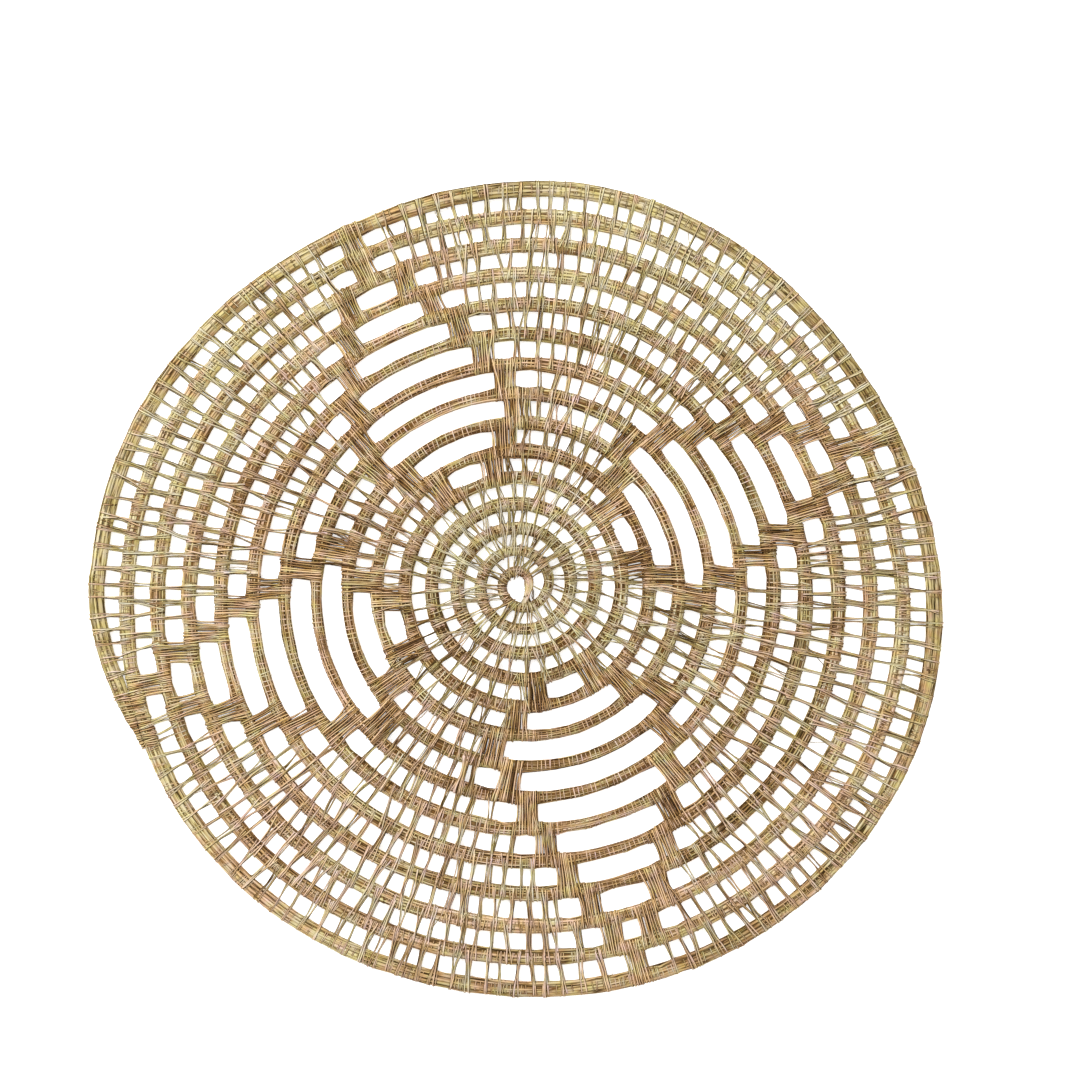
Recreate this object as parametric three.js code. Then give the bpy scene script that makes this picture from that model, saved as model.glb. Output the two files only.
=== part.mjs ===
// A round openwork placemat: one bundle of palm leaf, coiled outwards from an open eye and
// stitched to the turn before it. Long slots between the turns draw four leaves round the eye.
// Millimetres, +Z up. The underside is flat at z = 0, and the origin is under the middle of the mat.
import * as THREE from "three";

// The path of the coil. It is measured in turns, and whole turns lie on the +X side of the eye.
const FIRST_TURN = -0.2;
const LAST_TURN = 14.565;
const EYE_RADIUS = 3.7;
const TURN_SPACING = 8.37;
const SPACING_GROWTH = 0.564;
const SPACING_EASING = -0.0187;

// The hook at the eye, where the start of the bundle bends outwards under the first turn.
const HOOK_TURN = 0.05;
const HOOK_LENGTH = 0.265;
const HOOK_DEPTH = 4.9;

// How far the outermost turns leave a true circle: a row for each number of waves round the mat.
const UNEVEN_WAVES = [
  { waves: 1, swell: 8.15, heading: -80 },
  { waves: 2, swell: 2.6, heading: -7 },
  { waves: 3, swell: 2.3, heading: -38 },
  { waves: 4, swell: 1, heading: -20 },
  { waves: 5, swell: 0.65, heading: 3 },
];
const UNEVEN_FULL_AT = 14.55;

// The tail, where the bundle thins out and closes on the turn inside it.
const TAIL_TURN = 14.5;
const TAIL_SPACING = 4.2;

// The section of the coil: upright sides, sloping shoulders and a flat crest.
const COIL_HEIGHT = 4.6;
const SIDE_HEIGHT = 2;
const HALF_WIDTH = 2.9;
const EYE_HALF_WIDTH = 1.6;
const HALF_WIDTH_GROWTH = 0.45;
const RIM_HALF_WIDTH = 3.7;
const BARE_HALF_WIDTH = 2.1;
const CREST_SHARE = 0.48;
const END_SHARE = 0.2;
const END_HEIGHT = 2.6;
const START_TAPER = 0.2;
const TAIL_TAPER = 0.02;

// The leaves: a row for each one. From is its first turn, slots holds half the length of the slot
// in that turn and each one after it, and stem counts the closed turns beyond the last slot. Its
// heading is in degrees round the eye, and drifts by so many degrees in each turn.
const LEAVES = [
  { heading: 25, drift: -0.3, from: 4, stem: 2, slots: [8, 20, 33.5, 30.5, 26, 22, 15.5, 8] },
  { heading: 116.3, drift: 0, from: 4, stem: 2, slots: [8, 18.5, 29.5, 31, 27, 22.5, 16, 9.5] },
  { heading: 198.3, drift: -0.4, from: 4, stem: 1, slots: [7.5, 19.5, 35.5, 32.5, 26.5, 22, 14, 7.5] },
  { heading: 293, drift: -0.65, from: 3, stem: 1, slots: [8.5, 21.5, 36, 33.5, 29.5, 24.5, 18.5, 11, 4] },
];
const GROWING_TURNS = 3;

// Stitching between two turns: dense blocks beside the slots, single rungs elsewhere.
const BLOCK_LENGTH = 9;
const BLOCK_HEIGHT = 3.6;
const RUNG_LENGTH = 3;
const RUNG_HEIGHT = 2;
const RUNG_PITCH = 14.2;
const WIDE_GAP = 10;
const WEB_HEIGHT = 1.6;
const FIRST_OPEN_TURN = 10;
const END_BLOCK = 0.03;

// How finely the coil is drawn: a row for each zone, up to its last turn, with its steps in a turn.
const ZONES = [
  { upTo: 4, steps: 24 },
  { upTo: 10, steps: 36 },
  { upTo: LAST_TURN, steps: 50 },
];

const { cos, sin, PI, min, max, ceil, round, floor } = Math;

function smooth(share) {
  const t = min(max(share, 0), 1);
  return t * t * (3 - 2 * t);
}

// The distance of the wound coil from the eye, before its tail closes in.
function woundRadius(turn) {
  const angle = 2 * PI * turn;
  const even =
    EYE_RADIUS + TURN_SPACING * turn + SPACING_GROWTH * turn ** 2 + SPACING_EASING * turn ** 3;
  const hook = HOOK_DEPTH * (max(HOOK_TURN - turn, 0) / HOOK_LENGTH) ** 2;
  const weight = (max(turn, 0) / UNEVEN_FULL_AT) ** 2;
  const uneven = UNEVEN_WAVES.reduce(
    (sum, { waves, swell, heading }) => sum + swell * cos(waves * (angle - (heading * PI) / 180)),
    0,
  );
  return even + hook + weight * uneven;
}

// The distance of the coil's centre line from the eye.
function coilRadius(turn) {
  const closing = smooth((turn - TAIL_TURN) / (LAST_TURN - TAIL_TURN));
  const closed = woundRadius(turn - 1) + TAIL_SPACING;
  return THREE.MathUtils.lerp(woundRadius(turn), closed, closing);
}

// How full the bundle is: 1 along most of the coil, and less towards its start and its tail.
function fullness(turn) {
  const started = smooth((turn - FIRST_TURN) / START_TAPER);
  const unfinished = smooth((LAST_TURN - turn) / TAIL_TAPER);
  return END_SHARE + (1 - END_SHARE) * min(started, unfinished);
}

function halfWidth(turn) {
  return fullness(turn) * min(HALF_WIDTH, EYE_HALF_WIDTH + HALF_WIDTH_GROWTH * max(turn, 0));
}

function crestHeight(turn) {
  return THREE.MathUtils.lerp(END_HEIGHT, COIL_HEIGHT, fullness(turn));
}

// A length along the row of stitching outside a turn, as a part of that turn.
function inTurns(length, turn) {
  return length / (PI * (coilRadius(turn) + coilRadius(turn + 1)));
}

function stepsPerTurn(turn) {
  return ZONES.find(({ upTo }) => turn < upTo).steps;
}

// The slots and stems of the leaves, in order along the coil.
function leafRows() {
  const rows = [];
  for (const { heading, drift, from, stem, slots } of LEAVES) {
    for (let step = 0; step < slots.length + stem; step++) {
      const turn = from + step + (heading + drift * step) / 360;
      rows.push({ turn, half: slots[step] ?? 0, wide: step >= GROWING_TURNS });
    }
  }
  return rows.sort((a, b) => a.turn - b.turn);
}

// The stretches of the row of stitching: open ones, and closed ones of a certain height.
function stretches() {
  const found = [];
  let reached = FIRST_TURN;

  function stretch(to, open, height) {
    if (to <= reached) {
      throw new Error("stitching overlaps at turn " + to.toFixed(3));
    }
    found.push({ from: reached, to, open, height });
    reached = to;
  }

  function ladder(to) {
    if (floor(to) < FIRST_OPEN_TURN) {
      stretch(to, false, WEB_HEIGHT);
      return;
    }
    const rung = inTurns(RUNG_LENGTH, to);
    const length = to - reached;
    const count = max(round((length - rung) / inTurns(RUNG_PITCH, to)), 0);
    const start = reached;
    for (let i = 0; i < count; i++) {
      const pitch = (length - rung) / count;
      stretch(start + i * pitch + rung, false, RUNG_HEIGHT);
      stretch(start + (i + 1) * pitch, true, RUNG_HEIGHT);
    }
    stretch(to, false, RUNG_HEIGHT);
  }

  for (const { turn, half, wide } of leafRows()) {
    const slot = inTurns(half, turn);
    const block = inTurns(half > 0 ? BLOCK_LENGTH : BLOCK_LENGTH / 2, turn);
    const gap = wide ? inTurns(WIDE_GAP, turn) : 0;
    ladder(turn - slot - block - gap);
    if (wide) {
      stretch(turn - slot - block, true, BLOCK_HEIGHT);
    }
    if (half > 0) {
      stretch(turn - slot, false, BLOCK_HEIGHT);
      stretch(turn + slot, true, BLOCK_HEIGHT);
    }
    stretch(turn + slot + block, false, BLOCK_HEIGHT);
    if (wide) {
      stretch(turn + slot + block + gap, true, BLOCK_HEIGHT);
    }
  }
  ladder(LAST_TURN - 1 - END_BLOCK);
  stretch(LAST_TURN - 1, false, BLOCK_HEIGHT);
  return found;
}

// The points at which the stitching meets the coil, each with the height of the coil's side there.
// A mark with open set starts an open stretch, and a bare one lies in the middle of a slot.
function stitchMarks() {
  const marks = [];
  let before = 0;
  for (const { from, to, open, height } of stretches()) {
    const steps = ceil((to - from) * stepsPerTurn(from));
    const edge = open ? before || SIDE_HEIGHT : max(before, height);
    marks.push({ turn: from, open, height: edge, bare: false });
    for (let i = 1; i < steps; i++) {
      const turn = from + ((to - from) * i) / steps;
      marks.push({ turn, open, height: open ? SIDE_HEIGHT : height, bare: open });
    }
    before = open ? 0 : height;
  }
  marks.push({ turn: LAST_TURN - 1, open: false, height: before, bare: false });
  return marks;
}

// Evenly spaced marks from one turn up to but not at another, along a free edge of the coil.
function freeMarks(from, to) {
  const count = ceil((to - from) * stepsPerTurn(from));
  return Array.from({ length: count }, (unused, i) => ({
    turn: from + ((to - from) * i) / count,
    height: SIDE_HEIGHT,
    bare: false,
  }));
}

// Collects the points and faces of the mat. A line is a list of points in order along the coil.
class Skin {
  points = [];
  faces = [];

  point(turn, radius, height) {
    const angle = 2 * PI * turn;
    this.points.push(radius * cos(angle), radius * sin(angle), height);
    return { turn, index: this.points.length / 3 - 1 };
  }

  // A four-sided face, its corners counter-clockwise seen from outside.
  quad(a, b, c, d) {
    this.faces.push(a.index, b.index, c.index, a.index, c.index, d.index);
  }

  // The surface between two lines, the inner of which is nearer the eye.
  strip(inner, outer, faceUp) {
    let i = 0;
    let j = 0;
    while (i < inner.length - 1 || j < outer.length - 1) {
      const innerNext = inner[i + 1]?.turn ?? Infinity;
      const outerNext = outer[j + 1]?.turn ?? Infinity;
      const from = [inner[i].index, outer[j].index];
      const next = outerNext <= innerNext ? outer[++j].index : inner[++i].index;
      this.faces.push(...(faceUp ? [from[0], from[1], next] : [from[1], from[0], next]));
    }
  }

  // An upright wall under a stretch of line, facing away from the eye or towards it.
  wall(top, bottom, i, faceOut) {
    if (faceOut) {
      this.quad(bottom[i], bottom[i + 1], top[i + 1], top[i]);
    } else {
      this.quad(top[i], top[i + 1], bottom[i + 1], bottom[i]);
    }
  }

  // A flat end across the coil or the stitching, facing onwards along the coil or back.
  end(outline, faceOn) {
    const order = faceOn ? outline : [...outline].reverse();
    for (let i = 1; i < order.length - 1; i++) {
      this.faces.push(order[0].index, order[i].index, order[i + 1].index);
    }
  }

  geometry() {
    const made = new THREE.BufferGeometry();
    made.setAttribute("position", new THREE.Float32BufferAttribute(this.points, 3));
    made.setIndex(this.faces);
    made.computeBoundingBox();
    const middle = made.boundingBox.getCenter(new THREE.Vector3());
    made.translate(-middle.x, -middle.y, -made.boundingBox.min.z);
    made.computeVertexNormals();
    return made;
  }
}

// The two lines along one side of the coil, at the foot of the coil and where its shoulder begins.
// Side is 1 for the side away from the eye and -1 for the side towards it.
function sideLines(skin, marks, side) {
  const offset = ({ turn, bare }) => {
    const wide = turn > LAST_TURN - 1 && side > 0 ? RIM_HALF_WIDTH / HALF_WIDTH : 1;
    return side * min(halfWidth(turn) * wide, bare ? BARE_HALF_WIDTH : Infinity);
  };
  const place = (mark, height) =>
    skin.point(mark.turn, coilRadius(mark.turn) + offset(mark), height);
  return {
    top: marks.map((mark) => place(mark, mark.height)),
    bottom: marks.map((mark) => place(mark, 0)),
  };
}

// One edge of the flat crest, on the side away from the eye or towards it.
function crestLine(skin, side) {
  const starts = [FIRST_TURN, ...ZONES.map(({ upTo }) => upTo)];
  const marks = ZONES.flatMap(({ upTo }, zone) => freeMarks(starts[zone], upTo));
  return [...marks, { turn: LAST_TURN }].map(({ turn }) =>
    skin.point(turn, coilRadius(turn) + side * CREST_SHARE * halfWidth(turn), crestHeight(turn)),
  );
}

function matGeometry() {
  const skin = new Skin();
  const stitches = stitchMarks();
  const eye = freeMarks(FIRST_TURN, FIRST_TURN + 1);
  const rim = freeMarks(LAST_TURN - 1, LAST_TURN).slice(1);
  const rimEnd = { turn: LAST_TURN, height: SIDE_HEIGHT, bare: false };
  const turnOut = stitches.map((mark) => ({ ...mark, turn: mark.turn + 1 }));

  const inner = sideLines(skin, [...eye, ...turnOut], -1);
  const outer = sideLines(skin, [...stitches, ...rim, rimEnd], 1);
  const innerCrest = crestLine(skin, -1);
  const outerCrest = crestLine(skin, 1);

  // The coil itself
  skin.strip(inner.top, innerCrest, true);
  skin.strip(innerCrest, outerCrest, true);
  skin.strip(outerCrest, outer.top, true);
  skin.strip(inner.bottom, outer.bottom, false);

  // The free edges round the eye and round the rim
  eye.forEach((mark, i) => skin.wall(inner.top, inner.bottom, i, false));
  for (let i = stitches.length - 1; i < outer.top.length - 1; i++) {
    skin.wall(outer.top, outer.bottom, i, true);
  }

  // The stitching, and the walls of what it leaves open
  const across = (i) => [
    outer.bottom[i],
    outer.top[i],
    inner.top[eye.length + i],
    inner.bottom[eye.length + i],
  ];
  for (let i = 0; i < stitches.length - 1; i++) {
    const j = eye.length + i;
    if (stitches[i].open) {
      skin.wall(outer.top, outer.bottom, i, true);
      skin.wall(inner.top, inner.bottom, j, false);
    } else {
      skin.quad(outer.top[i], inner.top[j], inner.top[j + 1], outer.top[i + 1]);
      skin.quad(inner.bottom[j], outer.bottom[i], outer.bottom[i + 1], inner.bottom[j + 1]);
    }
    const openBefore = i === 0 || stitches[i - 1].open;
    if (openBefore !== stitches[i].open) {
      skin.end(across(i), stitches[i].open);
    }
  }
  skin.end(across(stitches.length - 1), true);

  // The two ends of the coil
  const section = (i, j, k) => [
    inner.bottom[i],
    inner.top[i],
    innerCrest[j],
    outerCrest[j],
    outer.top[k],
    outer.bottom[k],
  ];
  skin.end(section(0, 0, 0), false);
  skin.end(section(inner.top.length - 1, innerCrest.length - 1, outer.top.length - 1), true);
  return skin.geometry();
}

const palm = new THREE.MeshStandardMaterial({ color: 0xb4935f, roughness: 0.8, metalness: 0 });

const mat = new THREE.Mesh(matGeometry(), palm);
mat.name = "mat";

const placemat = new THREE.Group();
placemat.add(mat);

export default placemat;
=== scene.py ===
"""The looks of a round openwork placemat of coiled and stitched palm leaf, lying flat.

One bundle of leaf winds outwards from an open eye. A narrow strip of the same leaf binds the
bundle and stitches each turn to the turn inside it: single rungs with gaps between them, and
dense blocks beside the long slots, which draw four leaves round the eye.

Places along the coil are in turns, and whole turns lie on the +X side of the eye. Lengths are in
millimetres, those of the leaf's grain in centimetres, and those of finishes, the studio and the
finished meshes in metres.
"""

import bisect
import logging
import math
from dataclasses import dataclass, field, fields, replace
from enum import Enum

import bpy
import numpy as np
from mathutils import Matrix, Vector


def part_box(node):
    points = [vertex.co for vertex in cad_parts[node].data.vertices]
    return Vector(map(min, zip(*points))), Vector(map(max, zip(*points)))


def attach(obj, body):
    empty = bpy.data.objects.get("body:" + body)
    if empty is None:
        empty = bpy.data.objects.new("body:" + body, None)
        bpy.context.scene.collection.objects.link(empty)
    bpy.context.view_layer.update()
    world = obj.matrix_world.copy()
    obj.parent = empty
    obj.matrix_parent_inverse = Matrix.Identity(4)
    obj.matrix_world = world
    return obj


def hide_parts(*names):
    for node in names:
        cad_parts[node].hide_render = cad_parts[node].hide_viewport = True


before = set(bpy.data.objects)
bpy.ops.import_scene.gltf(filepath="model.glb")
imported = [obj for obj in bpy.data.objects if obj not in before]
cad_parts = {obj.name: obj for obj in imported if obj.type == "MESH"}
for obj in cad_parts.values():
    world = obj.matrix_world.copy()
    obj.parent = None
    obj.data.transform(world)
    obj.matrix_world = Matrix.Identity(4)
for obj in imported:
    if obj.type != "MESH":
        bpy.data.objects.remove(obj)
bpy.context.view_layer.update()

LOG = logging.getLogger("placemat")
MM = 0.001
MM_PER_CM = 10
LAST_GRAIN_START = 50
TAU = 2 * math.pi
UP = np.array([0.0, 0.0, 1.0])

Colour = tuple[float, float, float]
Tones = tuple[tuple[float, Colour], ...]
Socket = bpy.types.NodeSocket


def smooth(share: np.ndarray) -> np.ndarray:
    """A rise from 0 to 1 with level ends: 3 t squared less 2 t cubed, t held within 0 and 1."""
    t = np.clip(share, 0.0, 1.0)
    return t * t * (3.0 - 2.0 * t)


def blend(low: np.ndarray, high: np.ndarray, share: np.ndarray) -> np.ndarray:
    """The value a share of the way from low to high."""
    return low + (high - low) * share


def evenly(count: int) -> np.ndarray:
    """The middles of so many equal parts of the stretch from 0 to 1."""
    return (np.arange(count) + 0.5) / count


def tapered(share: np.ndarray, ends: float, least: float) -> np.ndarray:
    """1 along a strip, easing to the least at its ends, within this share of it from each."""
    return np.maximum(smooth(np.minimum(share, 1 - share) / ends), least)


def unit(vectors: np.ndarray) -> np.ndarray:
    """The vectors, each divided by its own length."""
    return vectors / np.linalg.norm(vectors, axis=-1, keepdims=True)


def wandering(
    rng: np.random.Generator, at: np.ndarray, total: float, step: float, spread: float
) -> np.ndarray:
    """Values at lengths along the coil, on straight lines between random ones at even steps."""
    knots = np.arange(0, total + 2 * step, step)
    return np.interp(at, knots, rng.normal(0, spread, len(knots)))


# The path of the coil


@dataclass(frozen=True)
class Wave:
    """A part of the coil's unevenness: so many waves round the mat, of one swell and heading."""

    waves: int
    swell: float
    heading: float


@dataclass(frozen=True)
class CoilPath:
    """The line that the bundle follows from the eye to its tail, and how full it is there.

    The hook is the coil's start, which comes in from under the next turn. Half widths are those
    of the coil where stitching holds it on both sides, and tapers are in turns.
    """

    first_turn: float = -0.2
    last_turn: float = 14.565
    eye_radius: float = 3.7
    turn_spacing: float = 8.37
    spacing_growth: float = 0.564
    spacing_easing: float = -0.0187
    hook_turn: float = 0.05
    hook_length: float = 0.265
    hook_depth: float = 4.9
    uneven: tuple[Wave, ...] = (
        Wave(1, 8.15, -80),
        Wave(2, 2.6, -7),
        Wave(3, 2.3, -38),
        Wave(4, 1, -20),
        Wave(5, 0.65, 3),
    )
    uneven_full_at: float = 14.55
    tail_turn: float = 14.5
    tail_spacing: float = 4.2
    half_width: float = 2.9
    eye_half_width: float = 1.6
    half_width_growth: float = 0.45
    rim_half_width: float = 3.7
    end_share: float = 0.2
    start_taper: float = 0.2
    tail_taper: float = 0.02
    outline_points: int = 4001

    def wound_radius(self, turn: np.ndarray) -> np.ndarray:
        """The distance of the wound coil from the eye, before its tail closes in.

        It is a cubic in the turns, plus a parabola before the hook's turn, plus a sum of cosines
        round the mat that grows with the square of the turns.

        Args:
            turn: places along the coil, in turns.

        Returns:
            The distances in millimetres.
        """
        turn = np.asarray(turn, dtype=float)
        cubic = (self.spacing_easing * turn + self.spacing_growth) * turn + self.turn_spacing
        even = self.eye_radius + cubic * turn
        hook = self.hook_depth * (np.maximum(self.hook_turn - turn, 0) / self.hook_length) ** 2
        weight = (np.maximum(turn, 0) / self.uneven_full_at) ** 2
        waves = sum(
            w.swell * np.cos(w.waves * (TAU * turn - math.radians(w.heading))) for w in self.uneven
        )
        return even + hook + weight * waves

    def radius(self, turn: np.ndarray) -> np.ndarray:
        """The distance of the coil's centre line from the eye, its closing tail included.

        The tail eases from the wound coil to a fixed spacing from the turn before.

        Args:
            turn: places along the coil, in turns.

        Returns:
            The distances in millimetres.
        """
        turn = np.asarray(turn, dtype=float)
        closing = smooth((turn - self.tail_turn) / (self.last_turn - self.tail_turn))
        closed = self.wound_radius(turn - 1) + self.tail_spacing
        return blend(self.wound_radius(turn), closed, closing)

    def fullness(self, turn: np.ndarray) -> np.ndarray:
        """How full the bundle is: 1 along most of the coil, less towards its start and tail.

        Args:
            turn: places along the coil, in turns.

        Returns:
            Shares from the end's to 1.
        """
        started = smooth((turn - self.first_turn) / self.start_taper)
        unfinished = smooth((self.last_turn - turn) / self.tail_taper)
        return blend(self.end_share, 1.0, np.minimum(started, unfinished))

    def width(self, turn: np.ndarray) -> np.ndarray:
        """Half the coil's width where stitching holds it on both sides."""
        grown = self.eye_half_width + self.half_width_growth * np.maximum(turn, 0)
        return self.fullness(turn) * np.minimum(self.half_width, grown)

    def in_turns(self, length: float, turn: float) -> float:
        """A length along the row of stitching outside a turn, as a part of that turn."""
        return length / (math.pi * float(self.radius(turn) + self.radius(turn + 1)))

    def middle(self) -> np.ndarray:
        """The middle of the mat's outline: of the box that the last turn's outer side fills.

        Returns:
            Its x and y, measured from the eye.
        """
        turn = np.linspace(self.last_turn - 1, self.last_turn, self.outline_points)
        rim = self.radius(turn) + self.width(turn) * self.rim_half_width / self.half_width
        x = rim * np.cos(TAU * turn)
        y = rim * np.sin(TAU * turn)
        return np.array([(x.min() + x.max()) / 2, (y.min() + y.max()) / 2])


# The plan of the stitching


class Course(Enum):
    """What fills a stretch of the row between two turns."""

    LADDER = "rungs with gaps between them"
    BLOCK = "strands side by side"
    GAP = "a wide gap beside a block"
    SLOT = "a long slot of a leaf"


@dataclass(frozen=True)
class Leaf:
    """A leaf of the pattern: half its slot's length in each turn from the first one on.

    Its heading drifts by so many degrees in each turn, and its stem is so many turns of blocks
    alone, outside its slots.
    """

    heading: float
    drift: float
    first: int
    stem: int
    slots: tuple[float, ...]


@dataclass(frozen=True)
class Stretch:
    """A stretch of the row of stitching outside a turn."""

    course: Course
    start: float
    end: float


@dataclass
class StitchPlan:
    """Where each stitch goes: the courses in order along the coil, and the rungs in them.

    Rungs stand at the pitch of their turn. One that comes within reach of a rung of the row
    before is drawn towards it by the follow share, a drift further back along the coil.
    """

    path: CoilPath
    leaves: tuple[Leaf, ...] = (
        Leaf(25, -0.3, 4, 2, (8, 20, 33.5, 30.5, 26, 22, 15.5, 8)),
        Leaf(116.3, 0, 4, 2, (8, 18.5, 29.5, 31, 27, 22.5, 16, 9.5)),
        Leaf(198.3, -0.4, 4, 1, (7.5, 19.5, 35.5, 32.5, 26.5, 22, 14, 7.5)),
        Leaf(293, -0.65, 3, 1, (8.5, 21.5, 36, 33.5, 29.5, 24.5, 18.5, 11, 4)),
    )
    growing_turns: int = 3
    block_length: float = 9.0
    wide_gap: float = 10.0
    end_block: float = 0.021
    pitch_turns: tuple[float, ...] = (0, 3.5, 9.5, 11)
    rung_pitches: tuple[float, ...] = (4.4, 6.4, 6.5, 6.95)
    rung_room: float = 2.4
    eye_gap: tuple[float, float] = (-0.16, 0.07)
    follow: float = 0.7
    follow_reach: float = 0.3
    drift_per_row: float = 0.9
    jitter: float = 0.5
    least_last_pitch: float = 0.45
    seed: int = 11
    stretches: list[Stretch] = field(init=False)
    rungs: np.ndarray = field(init=False)

    def __post_init__(self) -> None:
        """Lays out the courses, then the rungs."""
        self.stretches = self._courses()
        self.rungs = self._rungs()

    def _courses(self) -> list[Stretch]:
        """The courses in order, with ladders filling the room between the leaves.

        Returns:
            The stretches, end to end from the coil's start to one turn before its tail.
        """
        rows = sorted(
            (
                leaf.first + step + (leaf.heading + leaf.drift * step) / 360,
                leaf.slots[step] if step < len(leaf.slots) else 0,
                step >= self.growing_turns,
            )
            for leaf in self.leaves
            for step in range(len(leaf.slots) + leaf.stem)
        )
        ends: list[tuple[Course, float]] = []
        for turn, half_slot, wide in rows:
            slot = self.path.in_turns(half_slot, turn)
            length = self.block_length if half_slot else self.block_length / 2
            block = self.path.in_turns(length, turn)
            gap = self.path.in_turns(self.wide_gap, turn) if wide else 0
            ends.append((Course.LADDER, turn - slot - block - gap))
            if wide:
                ends.append((Course.GAP, turn - slot - block))
            if half_slot:
                ends += [(Course.BLOCK, turn - slot), (Course.SLOT, turn + slot)]
            ends.append((Course.BLOCK, turn + slot + block))
            if wide:
                ends.append((Course.GAP, turn + slot + block + gap))
        last = self.path.last_turn - 1
        ends += [(Course.LADDER, last - self.end_block), (Course.BLOCK, last)]
        starts = [self.path.first_turn, *(end for _, end in ends)]
        return [Stretch(course, start, end) for start, (course, end) in zip(starts, ends)]

    def _rungs(self) -> np.ndarray:
        """The rungs of the ladders, each of which follows one of the row before where it can.

        Returns:
            Places of the rungs, in turns, in order along the coil.
        """
        rng = np.random.default_rng(self.seed)
        placed: list[float] = []
        for item in self.spans(Course.LADDER):
            per_mm = self.path.in_turns(1.0, item.start)
            at = item.start + self.rung_room / 2 * per_mm
            placed.append(at)
            while True:
                per_mm = self.path.in_turns(1.0, at)
                pitch = float(np.interp(at, self.pitch_turns, self.rung_pitches)) * per_mm
                target = self._following(placed, at + pitch, pitch, self.drift_per_row * per_mm)
                at = target + rng.normal(0, self.jitter) * per_mm
                room = self.rung_room / 2 * per_mm
                if at > item.end - room - self.least_last_pitch * pitch:
                    break
                placed.append(at)
            placed.append(item.end - room)
        low, high = self.eye_gap
        kept = [place for place in placed if not low < place < high]
        return np.array(sorted([*kept, self.lone_rung]))

    def _following(self, placed: list[float], target: float, pitch: float, drift: float) -> float:
        """Draws a rung towards the nearest one of the row before, if that is close enough.

        Args:
            placed: places of the rungs so far.
            target: where the rung stands by the pitch alone.
            pitch: the pitch there, in turns.
            drift: how far behind the other rung it follows.

        Returns:
            The rung's place, in turns.
        """
        i = bisect.bisect_left(placed, target - 1 + drift)
        near = [placed[j] + 1 - drift for j in (i - 1, i) if 0 <= j < len(placed)]
        best = min(near, key=lambda place: abs(place - target), default=target)
        close = abs(best - target) < self.follow_reach * pitch
        return blend(target, best, self.follow) if close else target

    @property
    def lone_rung(self) -> float:
        """The place of the only strand across the wide gap beside the eye."""
        return sum(self.eye_gap) / 2

    def spans(self, *courses: Course) -> list[Stretch]:
        """The stretches of these courses."""
        return [item for item in self.stretches if item.course in courses]


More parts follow.
